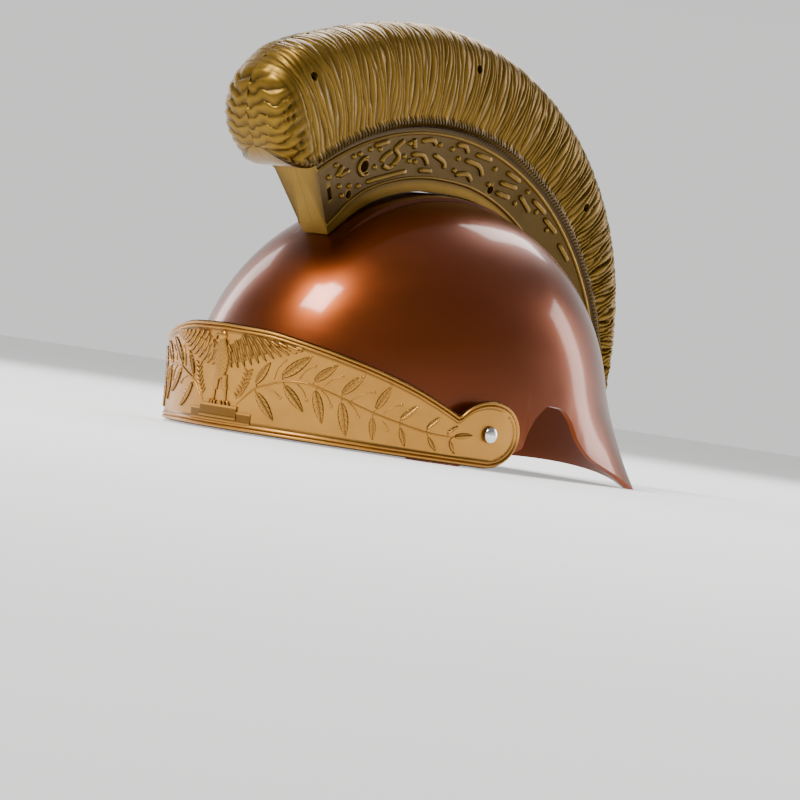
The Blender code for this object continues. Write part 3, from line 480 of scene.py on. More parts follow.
def smooth_line(points, steps):
    """Points on a smooth line through given ones, with some steps between each two."""
    rows = [Vector(p) for p in points]
    made = []
    for i in range(len(rows) - 1):
        before = rows[max(i - 1, 0)]
        after = rows[min(i + 2, len(rows) - 1)]
        for j in range(steps):
            t = j / steps
            m0 = (rows[i + 1] - before) / 2
            m1 = (after - rows[i]) / 2
            bend = (2 * t**3 - 3 * t**2 + 1) * rows[i] + (t**3 - 2 * t**2 + t) * m0
            made.append(bend + (3 * t**2 - 2 * t**3) * rows[i + 1] + (t**3 - t**2) * m1)
    made.append(rows[-1])
    return made


def ease(t):
    """A smooth step from 0 to 1."""
    t = min(1.0, max(0.0, t))
    return t * t * (3 - 2 * t)


def spread(low, high, step):
    """Values from low to high, about a step apart."""
    count = max(1, round((high - low) / step))
    return [low + (high - low) * i / count for i in range(count + 1)]


def origin_shift():
    """Shift along Y from the helmet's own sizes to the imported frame."""
    return frame["joints"][0]["pos_m"][1] - HINGE_Y


def deselect():
    """Go back to object mode with nothing selected."""
    if bpy.context.object and bpy.context.object.mode != "OBJECT":
        bpy.ops.object.mode_set(mode="OBJECT")
    bpy.ops.object.select_all(action="DESELECT")


def pick(made):
    """Select one piece alone and make it active."""
    deselect()
    made.select_set(True)
    bpy.context.view_layer.objects.active = made


def grid_piece(name, columns, rows, place):
    """A grid whose points are moved to place(column, row), which gives a point and its shade."""
    deselect()
    across = len(columns) - 1
    down = len(rows) - 1
    bpy.ops.mesh.primitive_grid_add(x_subdivisions=across, y_subdivisions=down, size=1.0)
    made = bpy.context.object
    made.name = name
    made.data.name = name
    shades = []
    for vert in made.data.vertices:
        i = round((vert.co.x + 0.5) * across)
        j = round((vert.co.y + 0.5) * down)
        point, shade = place(columns[i], rows[j])
        vert.co = point
        shades.append(shade)
    store = made.data.attributes.new("shade", "FLOAT", "POINT")
    store.data.foreach_set("value", shades)
    return made


def edit_all(made):
    """Open a piece in edit mode, selected all over."""
    pick(made)
    bpy.ops.object.mode_set(mode="EDIT")
    bpy.ops.mesh.select_all(action="SELECT")


def close_up(made, gap=MERGE):
    """Merge doubled points and turn the faces of a closed piece outwards."""
    edit_all(made)
    bpy.ops.mesh.remove_doubles(threshold=gap)
    bpy.ops.mesh.dissolve_degenerate(threshold=0.000001)
    bpy.ops.mesh.normals_make_consistent(inside=False)
    bpy.ops.object.mode_set(mode="OBJECT")


def turn_outwards(made, centre, gap=MERGE):
    """Merge doubled points and turn the faces of an open sheet away from a centre."""
    edit_all(made)
    bpy.ops.mesh.remove_doubles(threshold=gap)
    bpy.ops.mesh.normals_make_consistent(inside=False)
    bpy.ops.object.mode_set(mode="OBJECT")
    middle = Vector(centre)
    facing = sum(p.area * p.normal.dot(p.center - middle) for p in made.data.polygons)
    if facing < 0:
        edit_all(made)
        bpy.ops.mesh.flip_normals()
        bpy.ops.object.mode_set(mode="OBJECT")


def cap_ends(made):
    """Close the open ends of a strip with one face each."""
    edit_all(made)
    bpy.ops.mesh.remove_doubles(threshold=MERGE)
    bpy.ops.mesh.select_all(action="DESELECT")
    bpy.ops.mesh.select_non_manifold()
    bpy.ops.mesh.edge_face_add()
    bpy.ops.object.mode_set(mode="OBJECT")
    close_up(made)
    return made


def apply_modifiers(made):
    """Apply a piece's modifiers in their order."""
    pick(made)
    for modifier in list(made.modifiers):
        bpy.ops.object.modifier_apply(modifier=modifier.name)


def mirror_x(made):
    """Add the other side of a half, across the middle."""
    modifier = made.modifiers.new("other side", "MIRROR")
    modifier.use_axis = (True, False, False)
    modifier.use_clip = True
    modifier.merge_threshold = 0.00002
    apply_modifiers(made)


def both_sides(made, centre):
    """Turn a half outwards, add its other side and turn the whole outwards."""
    turn_outwards(made, centre)
    mirror_x(made)
    turn_outwards(made, centre)
    return made


def thicken(made, wall):
    """Give an open sheet a wall on its inner side, with its rim in the second material."""
    modifier = made.modifiers.new("wall", "SOLIDIFY")
    modifier.thickness = wall
    modifier.offset = -1.0
    modifier.use_even_offset = True
    modifier.material_offset_rim = 1
    apply_modifiers(made)


def join(name, parts):
    """Join pieces into one, with the name given."""
    deselect()
    for part in parts:
        part.select_set(True)
    bpy.context.view_layer.objects.active = parts[0]
    bpy.ops.object.join()
    made = bpy.context.object
    made.name = name
    made.data.name = name
    return made


def hand_over(made, body, materials, angle=40.0):
    """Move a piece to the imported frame, shade it, and let it ride on its body."""
    made.data.transform(Matrix.Translation((0.0, origin_shift(), 0.0)))
    if not made.data.materials:
        for material in materials:
            made.data.materials.append(material)
    pick(made)
    bpy.ops.object.shade_smooth_by_angle(angle=math.radians(angle))
    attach(made, body)
    return made


def rim_height(turn):
    """Height of the crown's lower rim at a turn from the front."""
    if turn <= NECK_CORNER_TURN:
        rows = [row for row in RIM if row.height is not None]
        return max(0.0, mix(rows, "height", turn) * EAR_TOP)
    reach = math.sin(math.radians(turn)) / math.sin(math.radians(NECK_CORNER_TURN))
    return NECK_ARCH * (1 - reach * reach)


def rim_flare(turn):
    """Share by which the neck guard stands out at a turn from the front."""
    if turn <= NECK_CORNER_TURN:
        rows = [row for row in RIM if row.turn <= NECK_CORNER_TURN]
    else:
        rows = [row for row in RIM if row.turn >= NECK_CORNER_TURN]
    return mix(rows, "flare", turn) * NECK_FLARE


def crown_point(size, turn, level, flare):
    """Point of the crown's outer face: level 1 is the top, 0 the waist and -1 the table."""
    angle = math.radians(turn)
    if level >= 0:
        rise = math.sin(level * math.pi / 2) ** (2 / CROWN_POWER)
        height = size.crown_waist + (size.crown_top - size.crown_waist) * rise
        share = max(0.0, math.cos(level * math.pi / 2)) ** (2 / CROWN_POWER)
    else:
        height = size.crown_waist * (1 + level)
        share = 1.0
    if height < NECK_FLARE_START:
        drop = (NECK_FLARE_START - height) / NECK_FLARE_START
        share += flare * drop**NECK_FLARE_POWER
    length = size.crown_front if turn <= 90 else size.crown_rear
    x = size.crown_half_width * share * math.sin(angle)
    return Vector((max(x, 0.0), -length * share * math.cos(angle), height))


def crown_level(size, height):
    """Level of the crown at a height, as crown_point takes it."""
    if height < size.crown_waist:
        return height / size.crown_waist - 1
    rise = (height - size.crown_waist) / (size.crown_top - size.crown_waist)
    return math.asin(rise ** (CROWN_POWER / 2)) * 2 / math.pi


def crown_side(size, y, x=0.0):
    """Height of the crown's outer face over a point of the plan."""
    length = size.crown_front if y < 0 else size.crown_rear
    share = math.hypot(y / length, x / size.crown_half_width)
    rise = max(0.0, 1 - share**CROWN_POWER) ** (1 / CROWN_POWER)
    return size.crown_waist + (size.crown_top - size.crown_waist) * rise


def crown_reach(size, y):
    """Half width of the crown at its waist, at a place along it."""
    length = size.crown_front if y < 0 else size.crown_rear
    return size.crown_half_width * math.sqrt(max(0.0, 1 - (y / length) ** 2))


def crest_point(turn, radius, x=0.0):
    """Point at a turn from upright and a radius from the crest's centre."""
    angle = math.radians(turn)
    return Vector((x, CREST_Y + radius * math.sin(angle), CREST_Z + radius * math.cos(angle)))


def dome_radius(size, turn, x=0.0):
    """Radius at which a ray of the crest's fan leaves the crown, at a distance from the middle."""
    low = 0.0
    high = 0.2
    for _ in range(30):
        middle = (low + high) / 2
        point = crest_point(turn, middle)
        if point.z < crown_side(size, point.y, x):
            low = middle
        else:
            high = middle
    return low


def ridge_rise(turn):
    """Rise of the ridge over the crown."""
    return RIDGE_RISE * ease((turn - RIDGE_FRONT) / RIDGE_RUN_IN)


def build_shell(size):
    """The crown's shell as an open sheet, down to its lower rim; the operator gives it its wall."""
    # The steps are close together round the ear cut-out
    turns = spread(0.0, 76.0, 1.6) + spread(76.3, 106.0, 0.33) + spread(107.5, 180.0, 1.45)
    levels = [1 - (1 - CROWN_BELT) * i / 36 for i in range(36)] + [-i / 24 for i in range(25)]
    facts = {}
    for turn in turns:
        facts[turn] = (crown_level(size, rim_height(turn)), rim_flare(turn))

    def place(turn, level):
        bottom, flare = facts[turn]
        if level <= 0:
            level = CROWN_BELT + (bottom - CROWN_BELT) * -level
        return crown_point(size, turn, level, flare), 0.0

    shell = grid_piece("crown_shell", turns, levels, place)
    return both_sides(shell, (0.0, 0.0, 0.03))


def build_ridge(size):
    """The low strip that follows the crown under the crest."""
    inner = RIDGE_HALF_WIDTH - RIDGE_CHAMFER
    across = [(-RIDGE_HALF_WIDTH, -1.0)] + [(x, 1.0) for x in spread(-inner, inner, 0.0015)]
    across += [(RIDGE_HALF_WIDTH, -1.0), (-RIDGE_HALF_WIDTH, -1.0)]

    def place(turn, row):
        x, level = across[row]
        lift = ridge_rise(turn) if level > 0 else -RIDGE_SINK
        # Painted shade: the ridge's sunk sides, where it meets the crown, are darkened
        shade = 0.0 if level > 0 else 0.8
        return crest_point(turn, dome_radius(size, turn, x) + lift, x), shade

    ridge = grid_piece("ridge", spread(RIDGE_FRONT, RIDGE_REAR, 0.7), range(len(across)), place)
    return cap_ends(ridge)


def turned_piece(name, profile, sides, centre):
    """A piece turned about a line along X: profile rows are (x, radius, shade)."""

    def place(column, row):
        x, radius, shade = profile[row]
        angle = 2 * math.pi * column / sides
        return (
            Vector((x, centre[0] + radius * math.cos(angle), centre[1] + radius * math.sin(angle))),
            shade,
        )

    made = grid_piece(name, range(sides + 1), range(len(profile)), place)
    close_up(made)
    return made


def visor_half_width(size):
    """Half width of the visor at its hinge."""
    return size.crown_half_width + VISOR_SIDE_ROOM


def visor_plan(size):
    """The visor's plan as (arc length, x, y) from the front to behind the hinge."""
    wide = visor_half_width(size)
    depth = size.crown_front + VISOR_FRONT_ROOM + VISOR_PLAN_BACK
    points = []
    for i in range(PLAN_STEPS + 1):
        angle = math.pi / 2 * i / PLAN_STEPS
        x = wide * math.sin(angle) ** (2 / VISOR_PLAN_POWER)
        y = VISOR_PLAN_BACK - depth * max(math.cos(angle), 0.0) ** (2 / VISOR_PLAN_POWER)
        points.append((x, y))
    points.append((wide, VISOR_PLAN_BACK + 3 * DISC_RADIUS))
    arc = 0.0
    plan = [(0.0, *points[0])]
    for before, after in zip(points, points[1:]):
        arc += math.dist(before, after)
        plan.append((arc, *after))
    return plan


def hinge_arc(plan):
    """Arc length from the front to the hinge."""
    k = max(i for i in range(len(plan) - 1) if plan[i][2] <= HINGE_Y)
    a = plan[k]
    b = plan[k + 1]
    return a[0] + (b[0] - a[0]) * (HINGE_Y - a[2]) / (b[2] - a[2])


def visor_point(plan, arc, height, lift=0.0):
    """Point over the visor's outer face, with arc below 0 on the right side."""
    reach = abs(arc)
    k = min(len(plan) - 2, bisect_right(plan, (reach, 9.0, 9.0)) - 1)
    k = max(k, 0)
    a = plan[k]
    b = plan[k + 1]
    t = (reach - a[0]) / (b[0] - a[0])
    ways = []
    for i in (k - 1, k, k + 1):
        p = plan[max(i, 0)]
        q = plan[min(max(i, 0) + 1, len(plan) - 1)]
        ways.append(Vector((q[1] - p[1], q[2] - p[2])).normalized() if q != p else None)
    if k == 0:
        ways[0] = Vector((ways[1].x, -ways[1].y))
    before = (ways[0] + ways[1]) / 2
    after = (ways[1] + ways[2]) / 2 if ways[2] else ways[1]
    way = (before * (1 - t) + after * t).normalized()
    off = VISOR_LEAN * height + lift
    x = a[1] + (b[1] - a[1]) * t + way.y * off
    y = a[2] + (b[2] - a[2]) * t - way.x * off
    return Vector((math.copysign(x, arc) if arc else 0.0, y, VISOR_EDGE + height))


def visor_top(size, behind, length):
    """Height of the visor's upper edge at a distance ahead of the hinge."""
    edge = mix(EDGE, "height", 1 - behind / length) * size.visor_height
    share = min(1.0, behind / DISC_AHEAD if behind > 0 else -behind / DISC_BEHIND)
    disc = DISC_RADIUS * (1 + math.sqrt(1 - share * share))
    if behind <= 0:
        return disc
    if share == 1.0:
        return edge
    fillet = VISOR_NOTCH_FILLET * share
    return (edge + disc + math.hypot(edge - disc, fillet)) / 2


def visor_bottom(behind):
    """Height of the visor's lower edge at a distance ahead of the hinge."""
    if behind >= 0:
        return 0.0
    share = min(1.0, -behind / DISC_BEHIND)
    return DISC_RADIUS * (1 - math.sqrt(1 - share * share))


def rim_line(distance):
    """Rise and painted shade of the raised lines at a distance from the visor's edge, in metres: the shade
    is a dark band along the foot of each line, standing for both the crease's shade and the brown antique
    wash.
    """
    far = distance * 1000
    rise = 0.0
    shade = 0.0
    for line in RIM_LINES:
        off = abs(far - line.distance_mm) / line.half_mm
        if off < 1:
            rise = max(rise, line.rise_mm * (1 - off * off) ** 0.8)
        shade = max(shade, 1 - abs(off - 1.25) / 0.45) if off < 1.7 else shade
    return rise / 1000, 0.85 * max(0.0, shade)


def build_visor_shell(size):
    """The visor's band with its discs and the raised lines along its edges."""
    plan = visor_plan(size)
    length = hinge_arc(plan)
    behinds = [length - a for a in spread(0.0, length - DISC_AHEAD, 0.0008)]
    for i in range(1, 91):
        share = math.cos(math.radians(2.0 * i))
        behinds.append(share * (DISC_AHEAD if share > 0 else DISC_BEHIND))
    near = [0.00022 * i for i in range(15)]
    facts = {}
    for behind in behinds:
        bottom = visor_bottom(behind)
        tall = visor_top(size, behind, length) - bottom
        scale = min(1.0, tall / (3.2 * near[-1]))
        edge = [d * scale for d in near]
        inside = [edge[-1] + (tall - 2 * edge[-1]) * i / 24 for i in range(1, 24)]
        facts[behind] = (bottom, tall, edge + inside + [tall - d for d in reversed(edge)])

    def place(behind, row):
        bottom, tall, steps = facts[behind]
        step = steps[row]
        distance = min(step, tall - step)
        if behind < 0:
            across = behind * DISC_RADIUS / DISC_BEHIND
            distance = DISC_RADIUS - math.hypot(across, bottom + step - DISC_RADIUS)
        lift, shade = rim_line(max(0.0, distance))
        return visor_point(plan, length - behind, bottom + step, lift), shade

    visor = grid_piece("visor_shell", behinds, range(len(near) * 2 + 23), place)
    return both_sides(visor, (0.0, -0.03, 0.02))


def leaf_piece(plan, leaf, slimness=LEAF_SLIMNESS, rise=LEAF_RISE_MM, veins=6, bow=0.0, base=0.12):
    """A raised leaf or feather with a midrib and side veins, closed underneath."""
    ahead = Vector((leaf.tip_arc_mm - leaf.arc_mm, leaf.tip_height_mm - leaf.height_mm))
    reach = ahead.length
    ahead = ahead / reach
    out = Vector((-ahead.y, ahead.x))

    def place(s, v):
        closing = v is None
        v = -1.0 if closing else v
        swell = math.sin(math.pi * min(1.0, s * 0.96 + 0.04) ** 0.85) ** 0.8
        half = slimness * reach * max(swell, base * (1 - s))
        if s >= 1.0:
            half = 0.0
        side = v * half + bow * reach * math.sin(math.pi * s)
        spot = Vector((leaf.arc_mm, leaf.height_mm)) + ahead * (s * reach) + out * side
        edge = abs(v)
        vein = abs((s * veins - edge * 1.5) % 1.0 - 0.5) * 2
        cut = ease((0.34 - vein) / 0.34) * ease(edge / 0.3) * ease((0.95 - edge) / 0.2)
        rib = ease((0.2 - edge) / 0.2)
        lift = rise * (0.62 + 0.38 * (1 - edge) - 0.30 * cut * (veins > 0) + 0.30 * rib)
        # Painted shade: the veins, the sides of the midrib and the outline are darkened, standing for both
        # the creases' shade and the brown antique lines
        shade = 0.75 * cut if veins else 0.0
        if 0.05 < edge < 0.3:
            shade = max(shade, 0.55)
        if edge > 0.99:
            lift = -SINK_MM
            shade = 1.0
        elif edge > 0.8:
            shade = 0.85
        if s <= 0.0 or s >= 1.0:
            lift = -SINK_MM
        return visor_point(plan, spot.x / 1000, spot.y / 1000, lift / 1000), shade

    steps = [i / LEAF_STEPS for i in range(LEAF_STEPS + 1)]
    made = grid_piece("leaf", steps, LEAF_SECTION, place)
    close_up(made, 0.000005)
    return made


def bar_piece(surface, spots, half, rise, shade=0.15, steps=6):
    """A raised round bar along a smooth line on a surface, closed at both ends."""
    line = smooth_line([(spot[0], spot[1], 0.0) for spot in spots], steps)
    angles = [2 * math.pi * i / BAR_SIDES for i in range(BAR_SIDES + 1)]
    count = len(line) - 1

    def place(i, angle):
        here = line[i]
        centre = surface(here.x, here.y, 0.0)
        ahead = surface(*line[min(i + 1, count)].xy, 0.0) - surface(*line[max(i - 1, 0)].xy, 0.0)
        outwards = (surface(here.x, here.y, 1.0) - centre).normalized()
        side = outwards.cross(ahead).normalized()
        end = min(i, count - i) / count
        full = math.sqrt(1 - (1 - min(1.0, end / 0.12)) ** 2)
        up = math.sin(angle) * rise * full
        across = math.cos(angle) * half * full
        # Painted shade: the bar's sides and underside, next to the surface, are dark, and only its top gets
        # the lighter value
        dark = shade if math.sin(angle) > 0.2 else 1.0
        return centre + side * (across / 1000) + outwards * (up / 1000), dark

    made = grid_piece("bar", range(count + 1), angles, place)
    close_up(made, 0.000004)
    return made


def bead_piece(surface, spot, half, rise):
    """A round bead on a surface."""
    centre = surface(spot[0], spot[1], 0.0)
    outwards = (surface(spot[0], spot[1], 1.0) - centre).normalized()
    deselect()
    bpy.ops.mesh.primitive_uv_sphere_add(segments=16, ring_count=10, radius=half / 1000)
    made = bpy.context.object
    made.name = "bead"
    turn = Vector((0.0, 0.0, 1.0)).rotation_difference(outwards).to_matrix().to_4x4()
    flat = Matrix.Diagonal((1.0, 1.0, rise / half, 1.0))
    made.data.transform(Matrix.Translation(centre) @ turn @ flat)
    return made


def block_piece(plan, block, steps):
    """A raised block with a bevelled edge, centred on the front."""
    ways = [-1.0, -0.985] + [i / steps for i in range(1 - steps, steps)] + [0.985, 1.0]
    downs = (0.0, 0.03, 0.14, 0.22, 0.26, 0.74, 0.78, 0.86, 0.97, 1.0, None)

    def place(way, down):
        down = 0.0 if down is None else down
        edge = abs(way) == 1.0 or down in (0.0, 1.0)
        groove = 0.22 <= down <= 0.26 or 0.74 <= down <= 0.78
        lift = -SINK_MM if edge else block.rise_mm * (0.7 if groove else 1.0)
        height = block.low_mm + (block.high_mm - block.low_mm) * down
        # Painted shade on the block's sunk edges and in its grooves
        shade = 1.0 if edge else 0.7 * groove
        arc = way * block.half_mm / 1000
        return visor_point(plan, arc, height / 1000, lift / 1000), shade

    made = grid_piece("block", ways, downs, place)
    return cap_ends(made)


def build_laurel(size):
    """The two branches with their leaves and berries."""
    plan = visor_plan(size)
    parts = []
    for side in (-1, 1):

        def surface(arc, height, lift, side=side):
            return visor_point(plan, side * arc / 1000, height / 1000, lift / 1000)

        parts.append(bar_piece(surface, STEM, 0.42, 0.62, steps=5))
        for leaf in LEAVES:
            turned = leaf._replace(arc_mm=side * leaf.arc_mm, tip_arc_mm=side * leaf.tip_arc_mm)
            parts.append(leaf_piece(plan, turned))
            foot = (leaf.arc_mm, leaf.height_mm)
            root = min(smooth_line([(*p, 0.0) for p in STEM], 5), key=lambda p: math.dist(p.xy, foot))
            if math.dist(root.xy, foot) > 0.4:
                parts.append(bar_piece(surface, (tuple(root.xy), foot), 0.3, 0.5))
        for stalk in STALKS:
            start = Vector((stalk.arc_mm, stalk.height_mm))
            tip = Vector((stalk.tip_arc_mm, stalk.tip_height_mm))
            bow = (start + tip) / 2 + Vector((-(tip - start).y, (tip - start).x)) * 0.10
            parts.append(bar_piece(surface, (start, bow, tip), 0.22, 0.42))
            parts.append(bead_piece(surface, tip, 0.72, 0.62))
    return join("visor_laurel", parts)


def wing_edge(column, arc):
    """Height of the wing's lower or upper edge."""
    return mix(WING, column, arc)


def build_eagle(size):
    """The eagle on its pedestal, with spread wings of layered feathers."""
    plan = visor_plan(size)

    def surface(arc, height, lift):
        return visor_point(plan, arc / 1000, height / 1000, lift / 1000)

    parts = [block_piece(plan, STEP, 14), block_piece(plan, PEDESTAL, 10)]
    for side in (-1, 1):
        arcs = spread(WING[0].arc_mm, WING[-1].arc_mm, 0.8)
        downs = (0.0, 0.08, 0.25, 0.45, 0.65, 0.85, 0.95, 1.0, None)

        def place(arc, down, side=side):
            down = 0.0 if down is None else down
            low = wing_edge("low_mm", arc) + 1.2
            high = max(low + 0.1, wing_edge("high_mm", arc))
            lift = -SINK_MM if down in (0.0, 1.0) or arc == arcs[-1] else 0.35
            height = low + (high - low) * down
            # Painted shade: the wing under the feathers is darkened all over
            return visor_point(plan, side * arc / 1000, height / 1000, lift / 1000), 0.6

        wing = grid_piece("wing", arcs, downs, place)
        close_up(wing)
        parts.append(wing)
        for row, (share, reach, rise) in enumerate(FEATHER_ROWS):
            count = FEATHER_COUNT - 2 * row
            for i in range(count):
                at = WING_ROOT_MM + (33.0 - 4.0 * row) * i / (count - 1)
                high = wing_edge("high_mm", min(at, WING_TIP_MM))
                low = wing_edge("low_mm", min(at, WING_TIP_MM))
                drop = (high - low) * share
                lean = 2.0 + 5.0 * i / FEATHER_COUNT
                start = Vector((side * (at - 1.2), high - drop * 0.55 - 0.3))
                tip_arc = min(at + lean * (0.5 + 0.5 * reach), 39.0)
                tip = Vector((side * tip_arc, high - (high - low) * min(1.0, share * 0.4 + reach) - 0.1))
                if (tip - start).length < FEATHER_SHORTEST_MM:
                    continue
                slim = min(0.34, 1.15 / (tip - start).length)
                feather = Leaf(start.x, start.y, tip.x, tip.y)
                parts.append(leaf_piece(plan, feather, slim, rise, 0, -0.05 * side, 0.6))
    body = smooth_line([(row.height_mm, row.half_mm, 0.0) for row in EAGLE_BODY], 6)

    def body_place(i, v):
        v = -1.0 if v is None else v
        height, half, _ = body[i]
        edge = abs(v)
        scale = 0.5 + 0.5 * math.cos(2 * math.pi * (height / 1.5 + 0.5 * (int(v * 3 + 9) % 2)))
        lift = 0.75 + 0.65 * math.sqrt(1 - min(1.0, edge) ** 2) - 0.14 * scale
        if edge == 1.0 or i in (0, len(body) - 1):
            lift = -SINK_MM
        # Painted shade at the chest's outline and between its scales
        shade = 1.0 if edge == 1.0 else 0.5 * scale
        return surface(v * half, height, lift), shade

    rows = [-1.0 + i / 8 for i in range(17)] + [None]
    chest = grid_piece("chest", range(len(body)), rows, body_place)
    close_up(chest)
    parts.append(chest)
    parts.append(bead_piece(surface, EAGLE_HEAD, EAGLE_HEAD_RADIUS_MM, 1.45))
    parts.append(bead_piece(surface, (-1.9, 41.6), 0.45, 1.62))
    start = (BEAK.arc_mm, BEAK.height_mm)
    bend = (BEAK.arc_mm - 2.2, BEAK.height_mm - 0.2)
    parts.append(bar_piece(surface, (start, bend, (BEAK.tip_arc_mm, BEAK.tip_height_mm)), 0.75, 1.1))
    for leg in LEGS:
        thigh = (leg.arc_mm * 0.9, leg.height_mm)
        knee = ((leg.arc_mm + leg.tip_arc_mm) / 2, 18.5)
        ankle = (leg.tip_arc_mm, leg.tip_height_mm)
        shin = (knee[0], 20.5)
        parts.append(bar_piece(surface, (thigh, (thigh[0], 21.0), (knee[0], 16.6)), 1.6, 1.15))
        parts.append(bar_piece(surface, (shin, knee, ankle), 0.9, 1.0))
    for arc in CLAWS_MM:
        parts.append(bar_piece(surface, ((arc * 0.85, 12.2), (arc, 11.2), (arc * 1.04, 10.3)), 0.55, 1.25))
    for sprig in SPRIGS:
        start = Vector((sprig.arc_mm, sprig.height_mm))
        tip = Vector((sprig.tip_arc_mm, sprig.tip_height_mm))
        way = 1 if tip.x > start.x else -1
        middle = (start + tip) / 2 + Vector((way * 1.0, -0.6))
        stalk = smooth_line([(*start, 0.0), (*middle, 0.0), (*tip, 0.0)], 4)
        parts.append(bar_piece(surface, (start, middle, tip), 0.25, 0.5))
        for i in range(1, len(stalk) - 1):
            here = stalk[i]
            for out in (-1, 1):
                end = (here.x + out * 2.3 + way * 0.5, here.y + 2.2)
                parts.append(leaf_piece(plan, Leaf(here.x, here.y, *end), 0.20, 0.5, 0))
    return join("visor_eagle", parts)


def rope_radius(size):
    """Radius of the rope from the crest's centre."""
    return size.crown_top + size.band_above_crown


def foot_radius(size, turn):
    """Radius of the crest's foot, which follows the ridge and arches a little over its front."""
    arch = max(0.0, 1 - ((turn - FOOT_ARCH_TURN) / FOOT_ARCH_SPREAD) ** 2)
    return dome_radius(size, turn) + ridge_rise(turn) + FOOT_CLEARANCE + FOOT_ARCH * arch


def band_width(size, low, radius, turn):
    """Half width of the crest's band at a radius."""
    t = (radius - low) / (rope_radius(size) - BAND_TOP_DROP - low)
    narrow = min(1.0, mix(CREST, "width", turn) / BAND_NARROW_FROM)
    return (FOOT_HALF_WIDTH + (size.band_half_width - FOOT_HALF_WIDTH) * t) * narrow


def groove(phase, power=0.7):
    """1 in the groove between two ribs and 0 on a rib's crown."""
    return 1 - abs(math.sin(math.pi * phase)) ** power


def brush_cut(size, turn, share, side):
    """Depth and painted shade of the brush's long ribs at a turn, from the seam (0) to the rope (1); the
    shade darkens the grooves.
    """
    pitch = math.degrees(size.rib_pitch / rope_radius(size)) * 0.93
    swing = 0.42 * math.sin(4.1 * share + 0.61 * turn + side) + 0.24 * math.sin(9.7 * share - 1.37 * turn)
    swing += 0.10 * math.sin(19.0 * share + 3.3 * turn)
    fine = groove(turn / pitch + swing)
    broad = groove(turn / (2.7 * pitch) + 0.45 * math.sin(3.0 * share + 0.43 * turn + 2 * side), 1.0)
    deep = 0.45 + 0.55 * ease(share / 0.8)
    swell = 0.75 + 0.25 * math.sin(2.3 * turn + 5.0 * share)
    depth = size.rib_depth * deep * (0.80 * fine * swell + 0.42 * broad)
    return depth, min(1.0, deep * (0.75 * fine + 0.25 * broad))


def head_cut(size, radius, x, side):
    """Depth and painted shade of the ribs that cross the rounded front end; the shade darkens the grooves.
    """
    wave = 0.24 * math.sin(x * 420 + side) + 0.10 * math.sin(x * 900 + radius * 700)
    fine = groove((radius - rope_radius(size)) / size.head_rib_pitch + wave, 0.8)
    return size.rib_depth * 1.15 * fine, 0.9 * fine


def brush_line(size, turn):
    """The brush's smooth half outline from the seam to the rope, as (x, radius, share)."""
    wide = mix(CREST, "width", turn) * size.brush_half_width - BRUSH_INSET
    tall = mix(CREST, "outer", turn) * size.brush_height - BRUSH_INSET
    base = rope_radius(size)
    line = smooth_line([(row.width, row.height, 0.0) for row in BRUSH], BRUSH_STEPS)
    count = len(line) - 1
    return [(p.x * wide, base + p.y * tall, i / count) for i, p in enumerate(line)]


def crest_rows(size, turn, low, head):
    """Half section from the top seam to the foot as (x, radius, part, share)."""
    rows = [(x, radius, "brush", share) for x, radius, share in brush_line(size, turn)]
    edge = rows[-1][0]
    top = rope_radius(size) + 0.0004
    under = top - 2 * ROPE_RISE - 0.0004
    inner = band_width(size, low, under, turn)
    for i in range(1, ROPE_STEPS + 1):
        t = i / ROPE_STEPS
        x = edge + (inner - edge) * ease((t - 0.55) / 0.45) + ROPE_BULGE * math.sin(math.pi * t) * (not head)
        rows.append((x, top + (under - top) * t, "rope", t))
    if head:
        more = 12 + BAND_STEPS
        rows += [(inner * (1 - i / more), under, "flat", 0.0) for i in range(1, more + 1)]
        return rows
    lip_high = rope_radius(size) - BAND_TOP_DROP
    lip_low = low + mix(CREST, "lip", turn) * (lip_high - low)
    for centre in (lip_high, lip_low):
        for i in range(5):
            angle = math.pi * i / 4
            radius = centre + LIP_RISE * math.cos(angle)
            x = band_width(size, low, radius, turn) + LIP_RISE * math.sin(angle)
            rows.append((x, radius, "lip", 1 - math.sin(angle)))
        if centre == lip_high:
            for i in range(1, BAND_STEPS):
                radius = lip_high - LIP_RISE - (lip_high - lip_low - 2 * LIP_RISE) * i / BAND_STEPS
                rows.append((band_width(size, low, radius, turn), radius, "band", 0.0))
    rows.append((band_width(size, low, (lip_low + low) / 2, turn), (lip_low + low) / 2, "foot", 0.0))
    rows.append((band_width(size, low, low, turn), low, "foot", 0.0))
    rows.append((0.0, low, "flat", 0.0))
    return rows


def cut_rows(size, turn, rows, side, front):
    """Cut the ribs into a section, square to its outline: rows become (x, radius, shade)."""
    made = []
    for i, (x, radius, part, share) in enumerate(rows):
        depth = 0.0
        shade = 0.0
        # Painted shade: the brush's grooves, the rope's twists and edges, the lip's sides and the whole band
        # between the lips are darkened; on the band this also stands for its brown antique wash
        if part == "brush":
            long_depth, long_shade = brush_cut(size, turn, share, side)
            cross_depth, cross_shade = head_cut(size, radius, x, side)
            depth = long_depth * (1 - front) + cross_depth * front
            shade = long_shade * (1 - front) + cross_shade * front
        elif part == "rope":
            twist = 0.5 - 0.5 * math.cos(2 * math.pi * (turn / 0.78 + 0.8 * share))
            depth = 0.0007 * twist * math.sin(math.pi * share)
            shade = 0.3 + 0.7 * max(twist, 1 - math.sin(math.pi * share))
        elif part == "lip":
            shade = 0.7 * share
        elif part == "band":
            shade = 0.74
        before = rows[max(i - 1, 0)]
        after = rows[min(i + 1, len(rows) - 1)]
        way = Vector((after[0] - before[0], after[1] - before[1]))
        if way.length > 0:
            way.normalize()
        inwards = Vector((way.y, -way.x))
        made.append((max(0.0, x + inwards.x * depth), radius + inwards.y * depth, shade))
    return made


